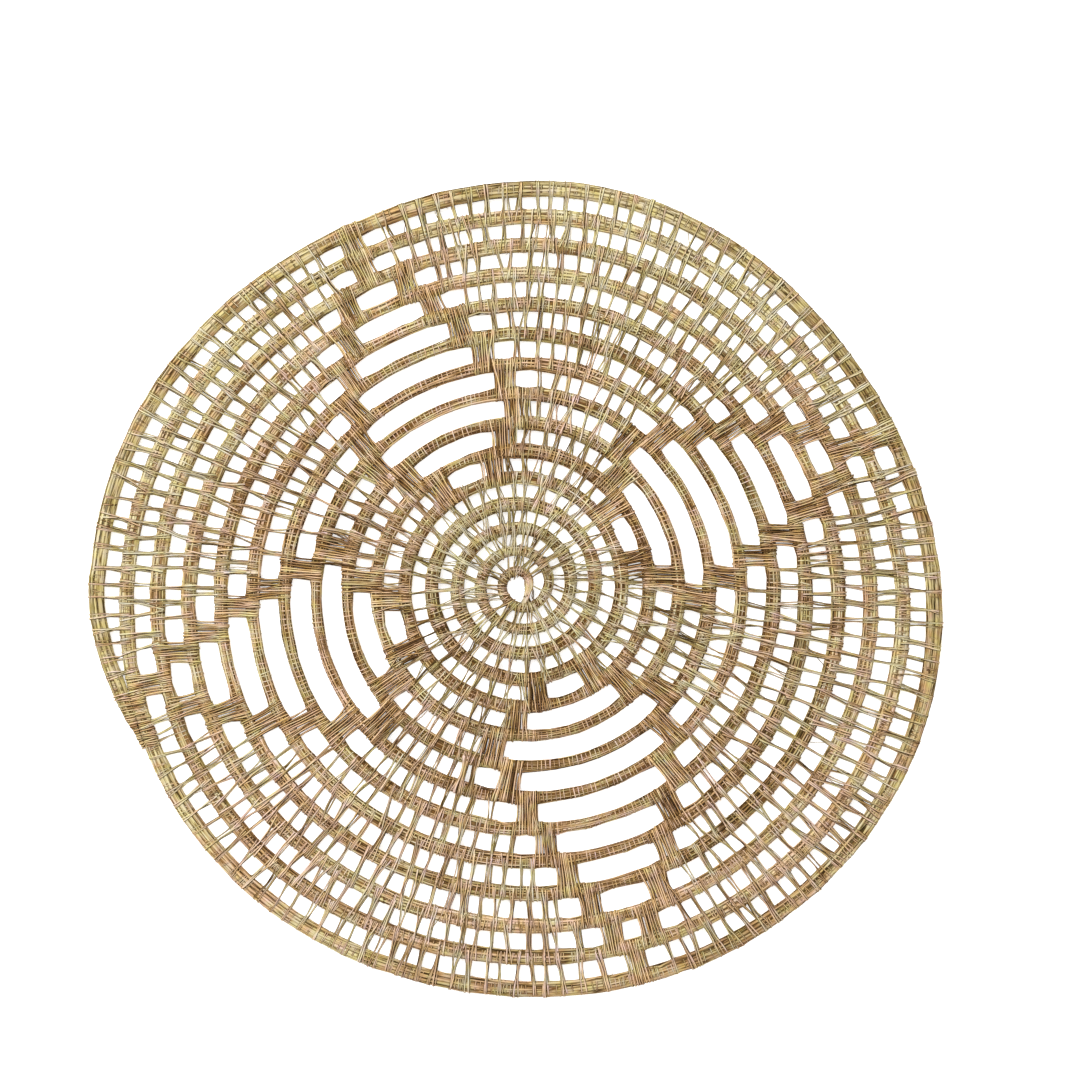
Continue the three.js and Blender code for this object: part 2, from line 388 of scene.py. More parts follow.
@dataclass
class CoilBody:
    """The coil's section along the path: an oval with its own half width on each side.

    Beside a slot or a wide gap the coil has the bare half width. Swells are added to the half
    width at the swell turns, the inset is taken off it at the rim, and bulges wander along each
    side. The bundle's surface stands out from that half width by the skin.
    """

    path: CoilPath
    plan: StitchPlan
    bare_width: float = 2.1
    bare_ease: float = 4.5
    height: float = 1.68
    start_height: float = 1.1
    start_turns: float = 1.6
    thin_share: float = 0.55
    centre: float = 2.3
    skin: float = 0.1
    rim_inset: float = 0.4
    pressed: float = 0.5
    swell_turns: tuple[float, ...] = (0, 1.5, 5, 8, 11)
    swells: tuple[float, ...] = (0.0, -0.14, -0.14, 0.04, 0.2)
    bulge: float = 0.17
    bulge_length: float = 4.5
    samples: int = 40000
    seed: int = 5
    _turns: np.ndarray = field(init=False)
    _open: np.ndarray = field(init=False)
    _length: np.ndarray = field(init=False)
    _bulges: list[np.ndarray] = field(init=False)

    def __post_init__(self) -> None:
        """Tabulates how open the row outside each turn is, and the length along the coil."""
        path = self.path
        self._turns = np.linspace(path.first_turn, path.last_turn, self.samples)
        self._open = np.zeros(self.samples)
        for item in self.plan.spans(Course.SLOT, Course.GAP):
            inside = (self._turns > item.start) & (self._turns < item.end)
            turn = self._turns[inside]
            ease = path.in_turns(self.bare_ease, item.start)
            self._open[inside] = smooth(np.minimum(turn - item.start, item.end - turn) / ease)
        radius = path.radius(self._turns)
        angle_step = TAU * np.diff(self._turns)
        steps = np.hypot(np.diff(radius), angle_step * (radius[1:] + radius[:-1]) / 2)
        self._length = np.concatenate([[0.0], np.cumsum(steps)])
        rng = np.random.default_rng(self.seed)
        self._bulges = [
            wandering(rng, self._length, self.total, self.bulge_length, self.bulge)
            for _ in range(2)
        ]

    @property
    def total(self) -> float:
        """The length of the coil, in millimetres."""
        return float(self._length[-1])

    def turn_at(self, length: np.ndarray) -> np.ndarray:
        """The place, in turns, at a length along the coil."""
        return np.interp(length, self._length, self._turns)

    def length_at(self, turn: np.ndarray) -> np.ndarray:
        """The length along the coil at a place in turns."""
        return np.interp(turn, self._turns, self._length)

    def bare(self, turn: np.ndarray) -> np.ndarray:
        """How open the row outside a turn is: 1 beside a slot or wide gap, 0 beside stitches."""
        return np.interp(turn, self._turns, self._open)

    def side(self, turn: np.ndarray, outer: np.ndarray) -> np.ndarray:
        """Half the width of the whole coil, leaf and stitches, on one side.

        Args:
            turn: places along the coil.
            outer: true for the side away from the eye.

        Returns:
            The half widths in millimetres, narrower beside a slot and wider at the rim.
        """
        full = self.path.width(turn)
        bare = self.bare(np.where(outer, turn, turn - 1))
        rim = outer & (turn > self.path.last_turn - 1)
        full = np.where(rim, full * self.path.rim_half_width / self.path.half_width, full)
        out_bulge, in_bulge = (np.interp(turn, self._turns, table) for table in self._bulges)
        bulge = np.where(outer, out_bulge, in_bulge) * full / self.path.half_width
        held = np.minimum(full, blend(full, self.bare_width, bare)) + bulge
        swell = np.interp(turn, self.swell_turns, self.swells)
        return held + np.where(rim, -self.rim_inset, swell)

    def tall(self, turn: np.ndarray) -> np.ndarray:
        """Half the height of the bundle."""
        risen = blend(self.start_height, self.height, smooth(turn / self.start_turns))
        return risen * blend(self.thin_share, 1.0, self.path.fullness(turn))

    def surface(
        self, turn: np.ndarray, angle: np.ndarray, lift: np.ndarray
    ) -> tuple[np.ndarray, np.ndarray]:
        """A point round the section: an ellipse, each side on its own half width.

        What lies on the underside is pressed flatter than what stands off the top.

        Args:
            turn: places along the coil.
            angle: angles round the section, 0 away from the eye and a quarter turn on top.
            lift: how far the point stands off the bundle.

        Returns:
            The distance from the eye and the height of each point, in millimetres.
        """
        cosine = np.cos(angle)
        half = self.side(turn, cosine > 0) + self.skin
        reach = self.path.radius(turn) + (half + lift) * cosine
        sine = np.sin(angle)
        raised = np.where(sine > 0, lift, lift * self.pressed)
        height = self.centre + (self.tall(turn) + raised) * sine
        return reach, height


@dataclass(frozen=True)
class LeafShade:
    """How the leaf changes along the coil: what to add to tone and greenness at these turns.

    Mixtures are how much the strips differ from one another there, which is less at the rim.
    Painted side shade is painted light and shade: the side of the coil away from the eye is painted
    lighter than its middle, and the side that faces the eye darker, like shade at its inner edge.
    """

    turns: tuple[float, ...] = (0, 2, 3.5, 7, 9.5, 12, 13.4, 14.2)
    tones: tuple[float, ...] = (0.11, 0.13, 0.06, 0.04, 0.11, 0.16, 0.16, 0.04)
    greens: tuple[float, ...] = (0.3, 0.3, 0.0, -0.25, -0.15, 0.05, 0.15, 0.25)
    mixtures: tuple[float, ...] = (1.4, 1.5, 1.5, 1.3, 1.0, 0.8, 0.62, 0.4)
    painted_side_shade: float = 0.06
    green_side: float = 0.22
    rim_turn: float = 14.0

    def tone(self, turn: np.ndarray) -> np.ndarray:
        """The tone to add, joined by straight lines between the turns of the table."""
        return np.interp(turn, self.turns, self.tones)

    def mixture(self, turn: np.ndarray) -> np.ndarray:
        """How much strips differ in tone, height and width, joined by straight lines."""
        return np.interp(turn, self.turns, self.mixtures)

    def green(self, turn: np.ndarray) -> np.ndarray:
        """The greenness to add: the table's, and more on the far side of the mat, by the sine."""
        aside = self.green_side * np.sin(TAU * turn) * turn / self.rim_turn
        return np.interp(turn, self.turns, self.greens) + aside


# Strips of leaf as meshes


@dataclass
class Strips:
    """Many strips of leaf, as rows of stations: distance from the eye, angle round it, height.

    Each array has a row for a strip and a column for a station. Along is true for strips that
    are wide along the coil; the others are wide square to their facing. Around holds the UV of
    the edge, the crest, the other edge and, past the underside, the first edge again.
    """

    reach: np.ndarray
    angle: np.ndarray
    height: np.ndarray
    width: np.ndarray
    thick: np.ndarray
    tone: np.ndarray
    green: np.ndarray
    closed: bool
    along: bool = False
    facing: np.ndarray | None = None

    AROUND = (0.0, 0.25, 0.5, 1.0)

    def only(self, chosen: np.ndarray) -> "Strips":
        """The chosen ones among the strips.

        Args:
            chosen: true for each strip to keep.

        Returns:
            The strips that are kept.
        """
        values = {item.name: getattr(self, item.name) for item in fields(self)}
        kept = {key: value[chosen] for key, value in values.items() if np.ndim(value)}
        return replace(self, **kept)

    def _points(self) -> np.ndarray:
        """The stations in space: x and y by the cosine and sine of the angle, z by the height.

        Returns:
            Points with a last axis of 3.
        """
        x = self.reach * np.cos(self.angle)
        y = self.reach * np.sin(self.angle)
        return np.stack([x, y, self.height], -1)

    def _frames(self) -> tuple[np.ndarray, np.ndarray, np.ndarray]:
        """The stations in space, with unit vectors across each strip and out of its face.

        The line's direction is the difference of the stations on either side. A strip that is
        wide along the coil faces square to that and to its line. Any other faces as near its
        given facing as it can while it stays square to its line.

        Returns:
            Points, across and outward, each with a last axis of 3.
        """
        point = self._points()
        if self.closed:
            line = unit(np.roll(point, -1, 1) - np.roll(point, 1, 1))
        else:
            line = unit(np.gradient(point, axis=1))
        if self.along:
            tangent = [-np.sin(self.angle), np.cos(self.angle), np.zeros_like(self.angle)]
            out = unit(np.cross(np.stack(tangent, -1), line))
        else:
            out = unit(self.facing - line * np.sum(self.facing * line, -1, keepdims=True))
        return point, np.cross(line, out), out

    def corners(self) -> np.ndarray:
        """Three corners round each station: edge, crest and edge, over a flat underside.

        Returns:
            Corners by strip, station and side, with a last axis of 3.
        """
        point, across, out = self._frames()
        half = across * self.width[..., None] / 2
        deep = out * self.thick[..., None] / 2
        return np.stack([point + half - deep / 2, point + deep, point - half - deep / 2], axis=2)

    def lengths(self) -> np.ndarray:
        """The length of each strip up to each station: the sum of the steps before it.

        Returns:
            Lengths in millimetres, with one more column on closed strips, for their end.
        """
        point = self._points()
        following = np.roll(point, -1, 1) if self.closed else point[:, 1:]
        before = point if self.closed else point[:, :-1]
        steps = np.linalg.norm(following - before, axis=-1)
        return np.concatenate([np.zeros((len(steps), 1)), np.cumsum(steps, axis=1)], axis=1)

    def quads(self, index: np.ndarray) -> np.ndarray:
        """The faces round each strip, from each station to the next.

        Args:
            index: the number of each corner, by strip, station and side.

        Returns:
            The four corners of each face.
        """
        here = index if self.closed else index[:, :-1]
        onward = np.roll(index, -1, 1) if self.closed else index[:, 1:]
        ring = [here, np.roll(here, -1, 2), np.roll(onward, -1, 2), onward]
        return np.stack(ring, axis=-1).reshape(-1, 4)

    def grain(self, start: np.ndarray) -> np.ndarray:
        """The UV at those faces' corners: length in centimetres, and share round the strip.

        Args:
            start: where the grain starts on each strip.

        Returns:
            Four pairs for each face.
        """
        length = self.lengths() / MM_PER_CM + start
        sides = len(self.AROUND) - 1
        low = length[:, :-1, None] + np.zeros(sides)
        high = length[:, 1:, None] + np.zeros(sides)
        near = np.array(self.AROUND[:-1]) + np.zeros_like(low)
        far = np.array(self.AROUND[1:]) + np.zeros_like(low)
        pairs = [low, near, low, far, high, far, high, near]
        return np.stack(pairs, -1).reshape(-1, 4, 2)


def join_strips(name: str, groups: list[Strips], centre: np.ndarray, seed: int) -> bpy.types.Object:
    """Makes one mesh of many strips, each a closed skin of four-sided faces.

    Args:
        name: the piece's name.
        groups: strips in groups of equal station counts.
        centre: the eye's place in the mat's frame, x and y in millimetres.
        seed: for where the leaf's grain starts on each strip.

    Returns:
        The piece, with the UV map "grain" (length in centimetres, share round the strip) and the
        attribute "strand" (tone, greenness and a number of its own for each strip).
    """
    rng = np.random.default_rng(seed)
    shift = np.array([centre[0], centre[1], 0.0])
    points, faces, sizes, grain, strand = [], [], [], [], []
    first = 0
    for group in groups:
        corners = group.corners()
        count, stations, sides, _ = corners.shape
        points.append(((corners + shift) * MM).reshape(-1, 3))
        index = np.arange(count * stations * sides).reshape(count, stations, sides)
        quads = group.quads(index)
        quad_grain = group.grain(rng.uniform(0, LAST_GRAIN_START, (count, 1)))
        inward = signed_volume(points[-1], quads) < 0
        if inward:
            quads, quad_grain = quads[:, ::-1], quad_grain[:, ::-1]
        faces.append(first + quads.ravel())
        sizes.append(np.full(len(quads), 4))
        grain.append(quad_grain.reshape(-1, 2))
        if not group.closed:
            caps = np.concatenate([index[:, 0, ::-1], index[:, -1]])
            caps = caps[:, ::-1] if inward else caps
            faces.append(first + caps.ravel())
            sizes.append(np.full(len(caps), sides))
            grain.append(np.full((caps.size, 2), Strips.AROUND[1]))
        first += index.size
        own = np.ones((count, stations, 4))
        own[..., 0] = group.tone
        own[..., 1] = group.green
        own[..., 2] = rng.uniform(0, 1, (count, 1))
        strand.append(np.repeat(own.reshape(-1, 4), sides, axis=0))
    parts = (points, faces, sizes, grain, strand)
    return make_piece(name, *(np.concatenate(part) for part in parts))


def signed_volume(points: np.ndarray, quads: np.ndarray) -> float:
    """A sixth of the sum of corner products of each face's triangles: over 0 if they face out."""
    a, b, c, d = (points[quads[:, i]] for i in range(4))
    return float(np.sum(np.cross(b, c) * a) + np.sum(np.cross(c, d) * a)) / 6


def make_piece(
    name: str,
    points: np.ndarray,
    corners: np.ndarray,
    sizes: np.ndarray,
    grain: np.ndarray,
    strand: np.ndarray,
) -> bpy.types.Object:
    """Puts arrays into a mesh and links it as a smooth-shaded piece at the origin.

    Args:
        name: the piece's name.
        points: corner places in metres.
        corners: the point of each face corner, face after face.
        sizes: how many corners each face has.
        grain: UV of each face corner.
        strand: tone, greenness, own number and 1 of each point.

    Returns:
        The piece.
    """
    mesh = bpy.data.meshes.new(name)
    mesh.vertices.add(len(points))
    mesh.vertices.foreach_set("co", points.astype(np.float32).ravel())
    mesh.loops.add(len(corners))
    mesh.loops.foreach_set("vertex_index", corners.astype(np.int32))
    mesh.polygons.add(len(sizes))
    starts = np.concatenate([[0], np.cumsum(sizes)[:-1]])
    mesh.polygons.foreach_set("loop_start", starts.astype(np.int32))
    mesh.update(calc_edges=True)
    mesh.polygons.foreach_set("use_smooth", np.ones(len(sizes), dtype=bool))
    layer = mesh.uv_layers.new(name="grain")
    layer.data.foreach_set("uv", grain.astype(np.float32).ravel())
    attribute = mesh.attributes.new("strand", "FLOAT_COLOR", "POINT")
    attribute.data.foreach_set("color", strand.astype(np.float32).ravel())
    mesh.validate()
    piece = bpy.data.objects.new(name, mesh)
    bpy.context.scene.collection.objects.link(piece)
    return piece


# Finishes


@dataclass(frozen=True)
class Nodes:
    """The nodes of a material: each call makes and links one or a few, and gives their result."""

    tree: bpy.types.NodeTree

    MIXED_LOW = 6
    MIXED_HIGH = 7
    MIXED_RESULT = 2

    def add(self, kind: str, **values: object) -> bpy.types.Node:
        """Makes a node.

        Args:
            kind: the node's type.
            values: its properties.

        Returns:
            The node.
        """
        node = self.tree.nodes.new(kind)
        for key, value in values.items():
            setattr(node, key, value)
        return node

    def feed(self, socket: Socket, value: Socket | float | tuple[float, ...]) -> None:
        """Links a result to a socket, or sets the socket to a number, a place or a colour.

        Args:
            socket: an input of a node.
            value: what goes in.
        """
        if isinstance(value, bpy.types.NodeSocket):
            self.tree.links.new(value, socket)
        else:
            socket.default_value = value

    def math(
        self, operation: str, value: Socket, other: Socket | float = 0.0, clamp: bool = False
    ) -> Socket:
        """Works out one value from two, or from the first alone.

        Args:
            operation: what is done with them.
            value: the first.
            other: the second.
            clamp: whether the result is held within 0 and 1.

        Returns:
            The result.
        """
        node = self.add("ShaderNodeMath", operation=operation, use_clamp=clamp)
        self.feed(node.inputs[0], value)
        self.feed(node.inputs[1], other)
        return node.outputs[0]

    def swayed(self, value: Socket, noise: Socket, effect: float) -> Socket:
        """The value plus the effect of a noise about its middle, which is a half."""
        level = self.math("MULTIPLY", self.math("SUBTRACT", noise, 0.5), effect)
        return self.math("ADD", value, level)

    def ranged(self, value: Socket, interpolation: str, **ends: float) -> Socket:
        """Maps a value from one range to another.

        Args:
            value: the value.
            interpolation: how it is eased between the ends.
            ends: the ends of the ranges, From_Min to To_Max.

        Returns:
            The mapped value.
        """
        node = self.add("ShaderNodeMapRange", interpolation_type=interpolation)
        for key, end in ends.items():
            self.feed(node.inputs[key.replace("_", " ")], end)
        self.feed(node.inputs["Value"], value)
        return node.outputs["Result"]

    def mixed(
        self,
        blend_type: str,
        factor: Socket | float,
        low: Socket | tuple[float, ...],
        high: Socket | tuple[float, ...],
    ) -> Socket:
        """Mixes two colours.

        Args:
            blend_type: how they are mixed.
            factor: how much of the second there is.
            low: the first colour.
            high: the second colour.

        Returns:
            The mixed colour.
        """
        node = self.add("ShaderNodeMix", data_type="RGBA", blend_type=blend_type)
        self.feed(node.inputs["Factor"], factor)
        self.feed(node.inputs[self.MIXED_LOW], low)
        self.feed(node.inputs[self.MIXED_HIGH], high)
        return node.outputs[self.MIXED_RESULT]

    def noise(self, place: Socket, scale: float, detail: float, roughness: float = 0.5) -> Socket:
        """Noise at a place, from 0 to 1.

        Args:
            place: the coordinates that it reads.
            scale: how many patches there are to a unit of them.
            detail: how many finer noises are added to it.
            roughness: how strong the finer ones are.

        Returns:
            The noise.
        """
        node = self.add("ShaderNodeTexNoise")
        self.feed(node.inputs["Vector"], place)
        self.feed(node.inputs["Scale"], scale)
        self.feed(node.inputs["Detail"], detail)
        self.feed(node.inputs["Roughness"], roughness)
        return node.outputs["Fac"]

    def uv(self) -> tuple[Socket, Socket]:
        """The length along a strip's leaf and the share round the strip, from its UV map.

        Returns:
            The two values.
        """
        place = self.add("ShaderNodeUVMap", uv_map="grain")
        parts = self.add("ShaderNodeSeparateXYZ")
        self.feed(parts.inputs["Vector"], place.outputs["UV"])
        return parts.outputs["X"], parts.outputs["Y"]

    def ramp(self, value: Socket, tones: Tones) -> Socket:
        """The colour of a value, blended between the tones.

        Args:
            value: the value.
            tones: colours, each with the value that it stands at.

        Returns:
            The colour.
        """
        node = self.add("ShaderNodeValToRGB")
        elements = node.color_ramp.elements
        while len(elements) < len(tones):
            elements.new(0.5)
        for element, (place, colour) in zip(elements, tones):
            element.position = place
            element.color = (*colour, 1)
        self.feed(node.inputs["Fac"], value)
        return node.outputs["Color"]


@dataclass(frozen=True)
class Mottle:
    """Noise over the whole mat: the size of a patch in metres, its detail and where it starts."""

    size: float
    detail: float
    start: tuple[float, float, float]

    def noise(self, nodes: Nodes) -> Socket:
        """The noise, in the mat's own coordinates.

        Args:
            nodes: the material's nodes.

        Returns:
            The noise.
        """
        place = nodes.add("ShaderNodeTexCoord")
        moved = nodes.add("ShaderNodeMapping")
        nodes.feed(moved.inputs["Location"], self.start)
        nodes.feed(moved.inputs["Vector"], place.outputs["Object"])
        return nodes.noise(moved.outputs["Vector"], 1 / self.size, self.detail)


PALM_TONES: Tones = (
    (0.0, (0.055, 0.028, 0.006)),
    (0.25, (0.22, 0.137, 0.05)),
    (0.5, (0.47, 0.345, 0.2)),
    (0.75, (0.635, 0.515, 0.38)),
    (1.0, (0.70, 0.607, 0.54)),
)
BROWNER_TONES: Tones = (
    (0.0, (0.055, 0.028, 0.006)),
    (0.25, (0.225, 0.128, 0.04)),
    (0.5, (0.48, 0.325, 0.155)),
    (0.75, (0.645, 0.495, 0.3)),
    (1.0, (0.71, 0.59, 0.42)),
)
# Dark pith colours that also stand for painted shade in the gaps between the strips.
PITH_AND_SHADE_TONES: Tones = (
    (0.0, (0.12, 0.064, 0.02)),
    (0.5, (0.2, 0.125, 0.048)),
    (1.0, (0.31, 0.205, 0.098)),
)


@dataclass(frozen=True)
class PalmFinish:
    """Dried palm leaf: a tone for each strip, long grain, darker edges and patches of olive.

    Effects on tone are what a whole unit of the noise adds. Olive effects are those of the wide
    patches, the patches and the spots on how olive the leaf is. The darker edges are partly edge
    wear and partly painted shade: the dark slits between strips and a strand's shaded side.
    """

    name: str
    tones: Tones = PALM_TONES
    warm: Colour = (1.0, 0.85, 0.76)
    olive: Colour = (0.90, 0.97, 0.77)
    olive_effects: tuple[float, float, float] = (1.0, 1.3, 3.2)
    grain_effect: float = 0.5
    grain_along: float = 0.9
    grain_across: float = 5.0
    grain_apart: float = 90.0
    grain_detail: float = 3.0
    grain_roughness: float = 0.6
    slit_effect: float = 0.42
    slit_below: tuple[float, float] = (0.36, 0.47)
    patch: Mottle = Mottle(0.03, 2.0, (0, 0, 0))
    patch_effect: float = 0.26
    wide: Mottle = Mottle(0.03 / 0.35, 1.0, (3.1, 7.7, 0))
    wide_share: float = 0.6
    spot: Mottle = Mottle(0.006, 1.0, (9.2, 4.4, 0))
    spot_effect: float = 0.3
    straw: Mottle = Mottle(0.0042, 0.0, (5.3, 1.9, 0))
    straw_effect: float = 0.42
    edge_wear_and_shade: float = 0.46
    edge_from: tuple[float, float] = (0.35, 0.95)
    one_sided: float = 0.0
    bump_height: float = 0.00012
    roughness: tuple[float, float] = (0.6, 0.88)
    specular: float = 0.16

    def material(self) -> bpy.types.Material:
        """The finish as a material.

        The strip's own attribute gives its tone, its greenness and the number that sets its
        grain apart. The streaks of the grain also raise and roughen it.

        Returns:
            The material.
        """
        made = bpy.data.materials.new(self.name)
        made.use_nodes = True
        nodes = Nodes(made.node_tree)
        strand = nodes.add("ShaderNodeAttribute", attribute_name="strand")
        parts = nodes.add("ShaderNodeSeparateColor")
        nodes.feed(parts.inputs["Color"], strand.outputs["Color"])
        tone, green, own = (parts.outputs[name] for name in ("Red", "Green", "Blue"))
        grain = self._streaks(nodes, own)
        sleek, rough = self.roughness
        roughness = nodes.ranged(grain, "LINEAR", To_Min=rough, To_Max=sleek)
        bump = nodes.add("ShaderNodeBump")
        nodes.feed(bump.inputs["Distance"], self.bump_height)
        nodes.feed(bump.inputs["Strength"], 1.0)
        nodes.feed(bump.inputs["Height"], grain)
        shader = made.node_tree.nodes["Principled BSDF"]
        nodes.feed(shader.inputs["Base Color"], self._colour(nodes, tone, green, own, grain))
        nodes.feed(shader.inputs["Roughness"], roughness)
        nodes.feed(shader.inputs["Specular IOR Level"], self.specular)
        nodes.feed(shader.inputs["Normal"], bump.outputs["Normal"])
        return made

    def _colour(
        self, nodes: Nodes, tone: Socket, green: Socket, own: Socket, grain: Socket
    ) -> Socket:
        """The colour of the leaf.

        A strip's tone, plus long streaks along its grain and wide patches over the mat, less a
        share towards its two edges, for edge wear and painted shade between strips, and in its
        deepest streaks, picks a colour from the tones.
        Olive is mixed in where the strip's greenness and the patches are high, and small spots
        are more or less straw yellow.

        Args:
            nodes: the material's nodes.
            tone: the strip's tone.
            green: its greenness.
            own: its own number, from 0 to 1.
            grain: the streaks of its grain.

        Returns:
            The colour.
        """
        patch, wide, spot, straw = (
            mottle.noise(nodes) for mottle in (self.patch, self.wide, self.spot, self.straw)
        )
        for noise, effect in (
            (grain, self.grain_effect),
            (patch, self.patch_effect),
            (wide, self.patch_effect * self.wide_share),
            (spot, self.spot_effect),
        ):
            tone = nodes.swayed(tone, noise, effect)
        # the edges darken for edge wear and for painted shade between strips
        for dark, effect in (
            (self._edges(nodes, own), self.edge_wear_and_shade),
            (self._slits(nodes, grain), self.slit_effect),
        ):
            tone = nodes.math("SUBTRACT", tone, nodes.math("MULTIPLY", dark, effect))
        hue = green
        for noise, effect in zip((wide, patch, spot), self.olive_effects):
            hue = nodes.swayed(hue, noise, effect)
        hue = nodes.math("MULTIPLY", hue, 1.0, clamp=True)
        tint = nodes.mixed("MIX", hue, (*self.warm, 1), (*self.olive, 1))
        yellow, pale = (1, 1, 1 - self.straw_effect, 1), (1, 1, 1 + self.straw_effect, 1)
        shift = nodes.mixed("MIX", straw, yellow, pale)
        colour = nodes.mixed("MULTIPLY", 1.0, nodes.ramp(tone, self.tones), tint)
        return nodes.mixed("MULTIPLY", 1.0, colour, shift)

    def _streaks(self, nodes: Nodes, own: Socket) -> Socket:
        """Noise drawn out along the strip's grain, different on each strip.

        Args:
            nodes: the material's nodes.
            own: the strip's own number.

        Returns:
            The noise.
        """
        along, across = nodes.uv()
        joined = nodes.add("ShaderNodeCombineXYZ")
        for axis, value, scale in (
            ("X", along, self.grain_along),
            ("Y", across, self.grain_across),
            ("Z", own, self.grain_apart),
        ):
            nodes.feed(joined.inputs[axis], nodes.math("MULTIPLY", value, scale))
        return nodes.noise(joined.outputs["Vector"], 1.0, self.grain_detail, self.grain_roughness)

    def _slits(self, nodes: Nodes, grain: Socket) -> Socket:
        """1 in the lowest streaks of the grain and 0 elsewhere, with a short slope between."""
        low, high = self.slit_below
        return nodes.ranged(grain, "SMOOTHSTEP", From_Min=high, From_Max=low)

    def _edges(self, nodes: Nodes, own: Socket) -> Socket:
        """1 at the strip's edges and 0 along its middle: a steepened cosine round it.

        A one-sided share weakens it at one edge, which is another on each strip. The darkening is
        partly edge wear and partly painted shade: the slits between strips and a strand's shaded
        side.

        Args:
            nodes: the material's nodes.
            own: the strip's own number.

        Returns:
            How much of an edge each point is.
        """
        _, around = nodes.uv()
        wave = nodes.math("COSINE", nodes.math("MULTIPLY", around, TAU))
        both = nodes.math("ABSOLUTE", wave)
        side = nodes.math("GREATER_THAN", own, 0.5)
        sign = nodes.math("SUBTRACT", nodes.math("MULTIPLY", side, 2.0), 1.0)
        one = nodes.math("MAXIMUM", nodes.math("MULTIPLY", wave, sign))
        less = nodes.math("MULTIPLY", nodes.math("SUBTRACT", one, both), self.one_sided)
        low, high = self.edge_from
        edge = nodes.math("ADD", both, less)
        return nodes.ranged(edge, "SMOOTHSTEP", From_Min=low, From_Max=high)


# The pieces


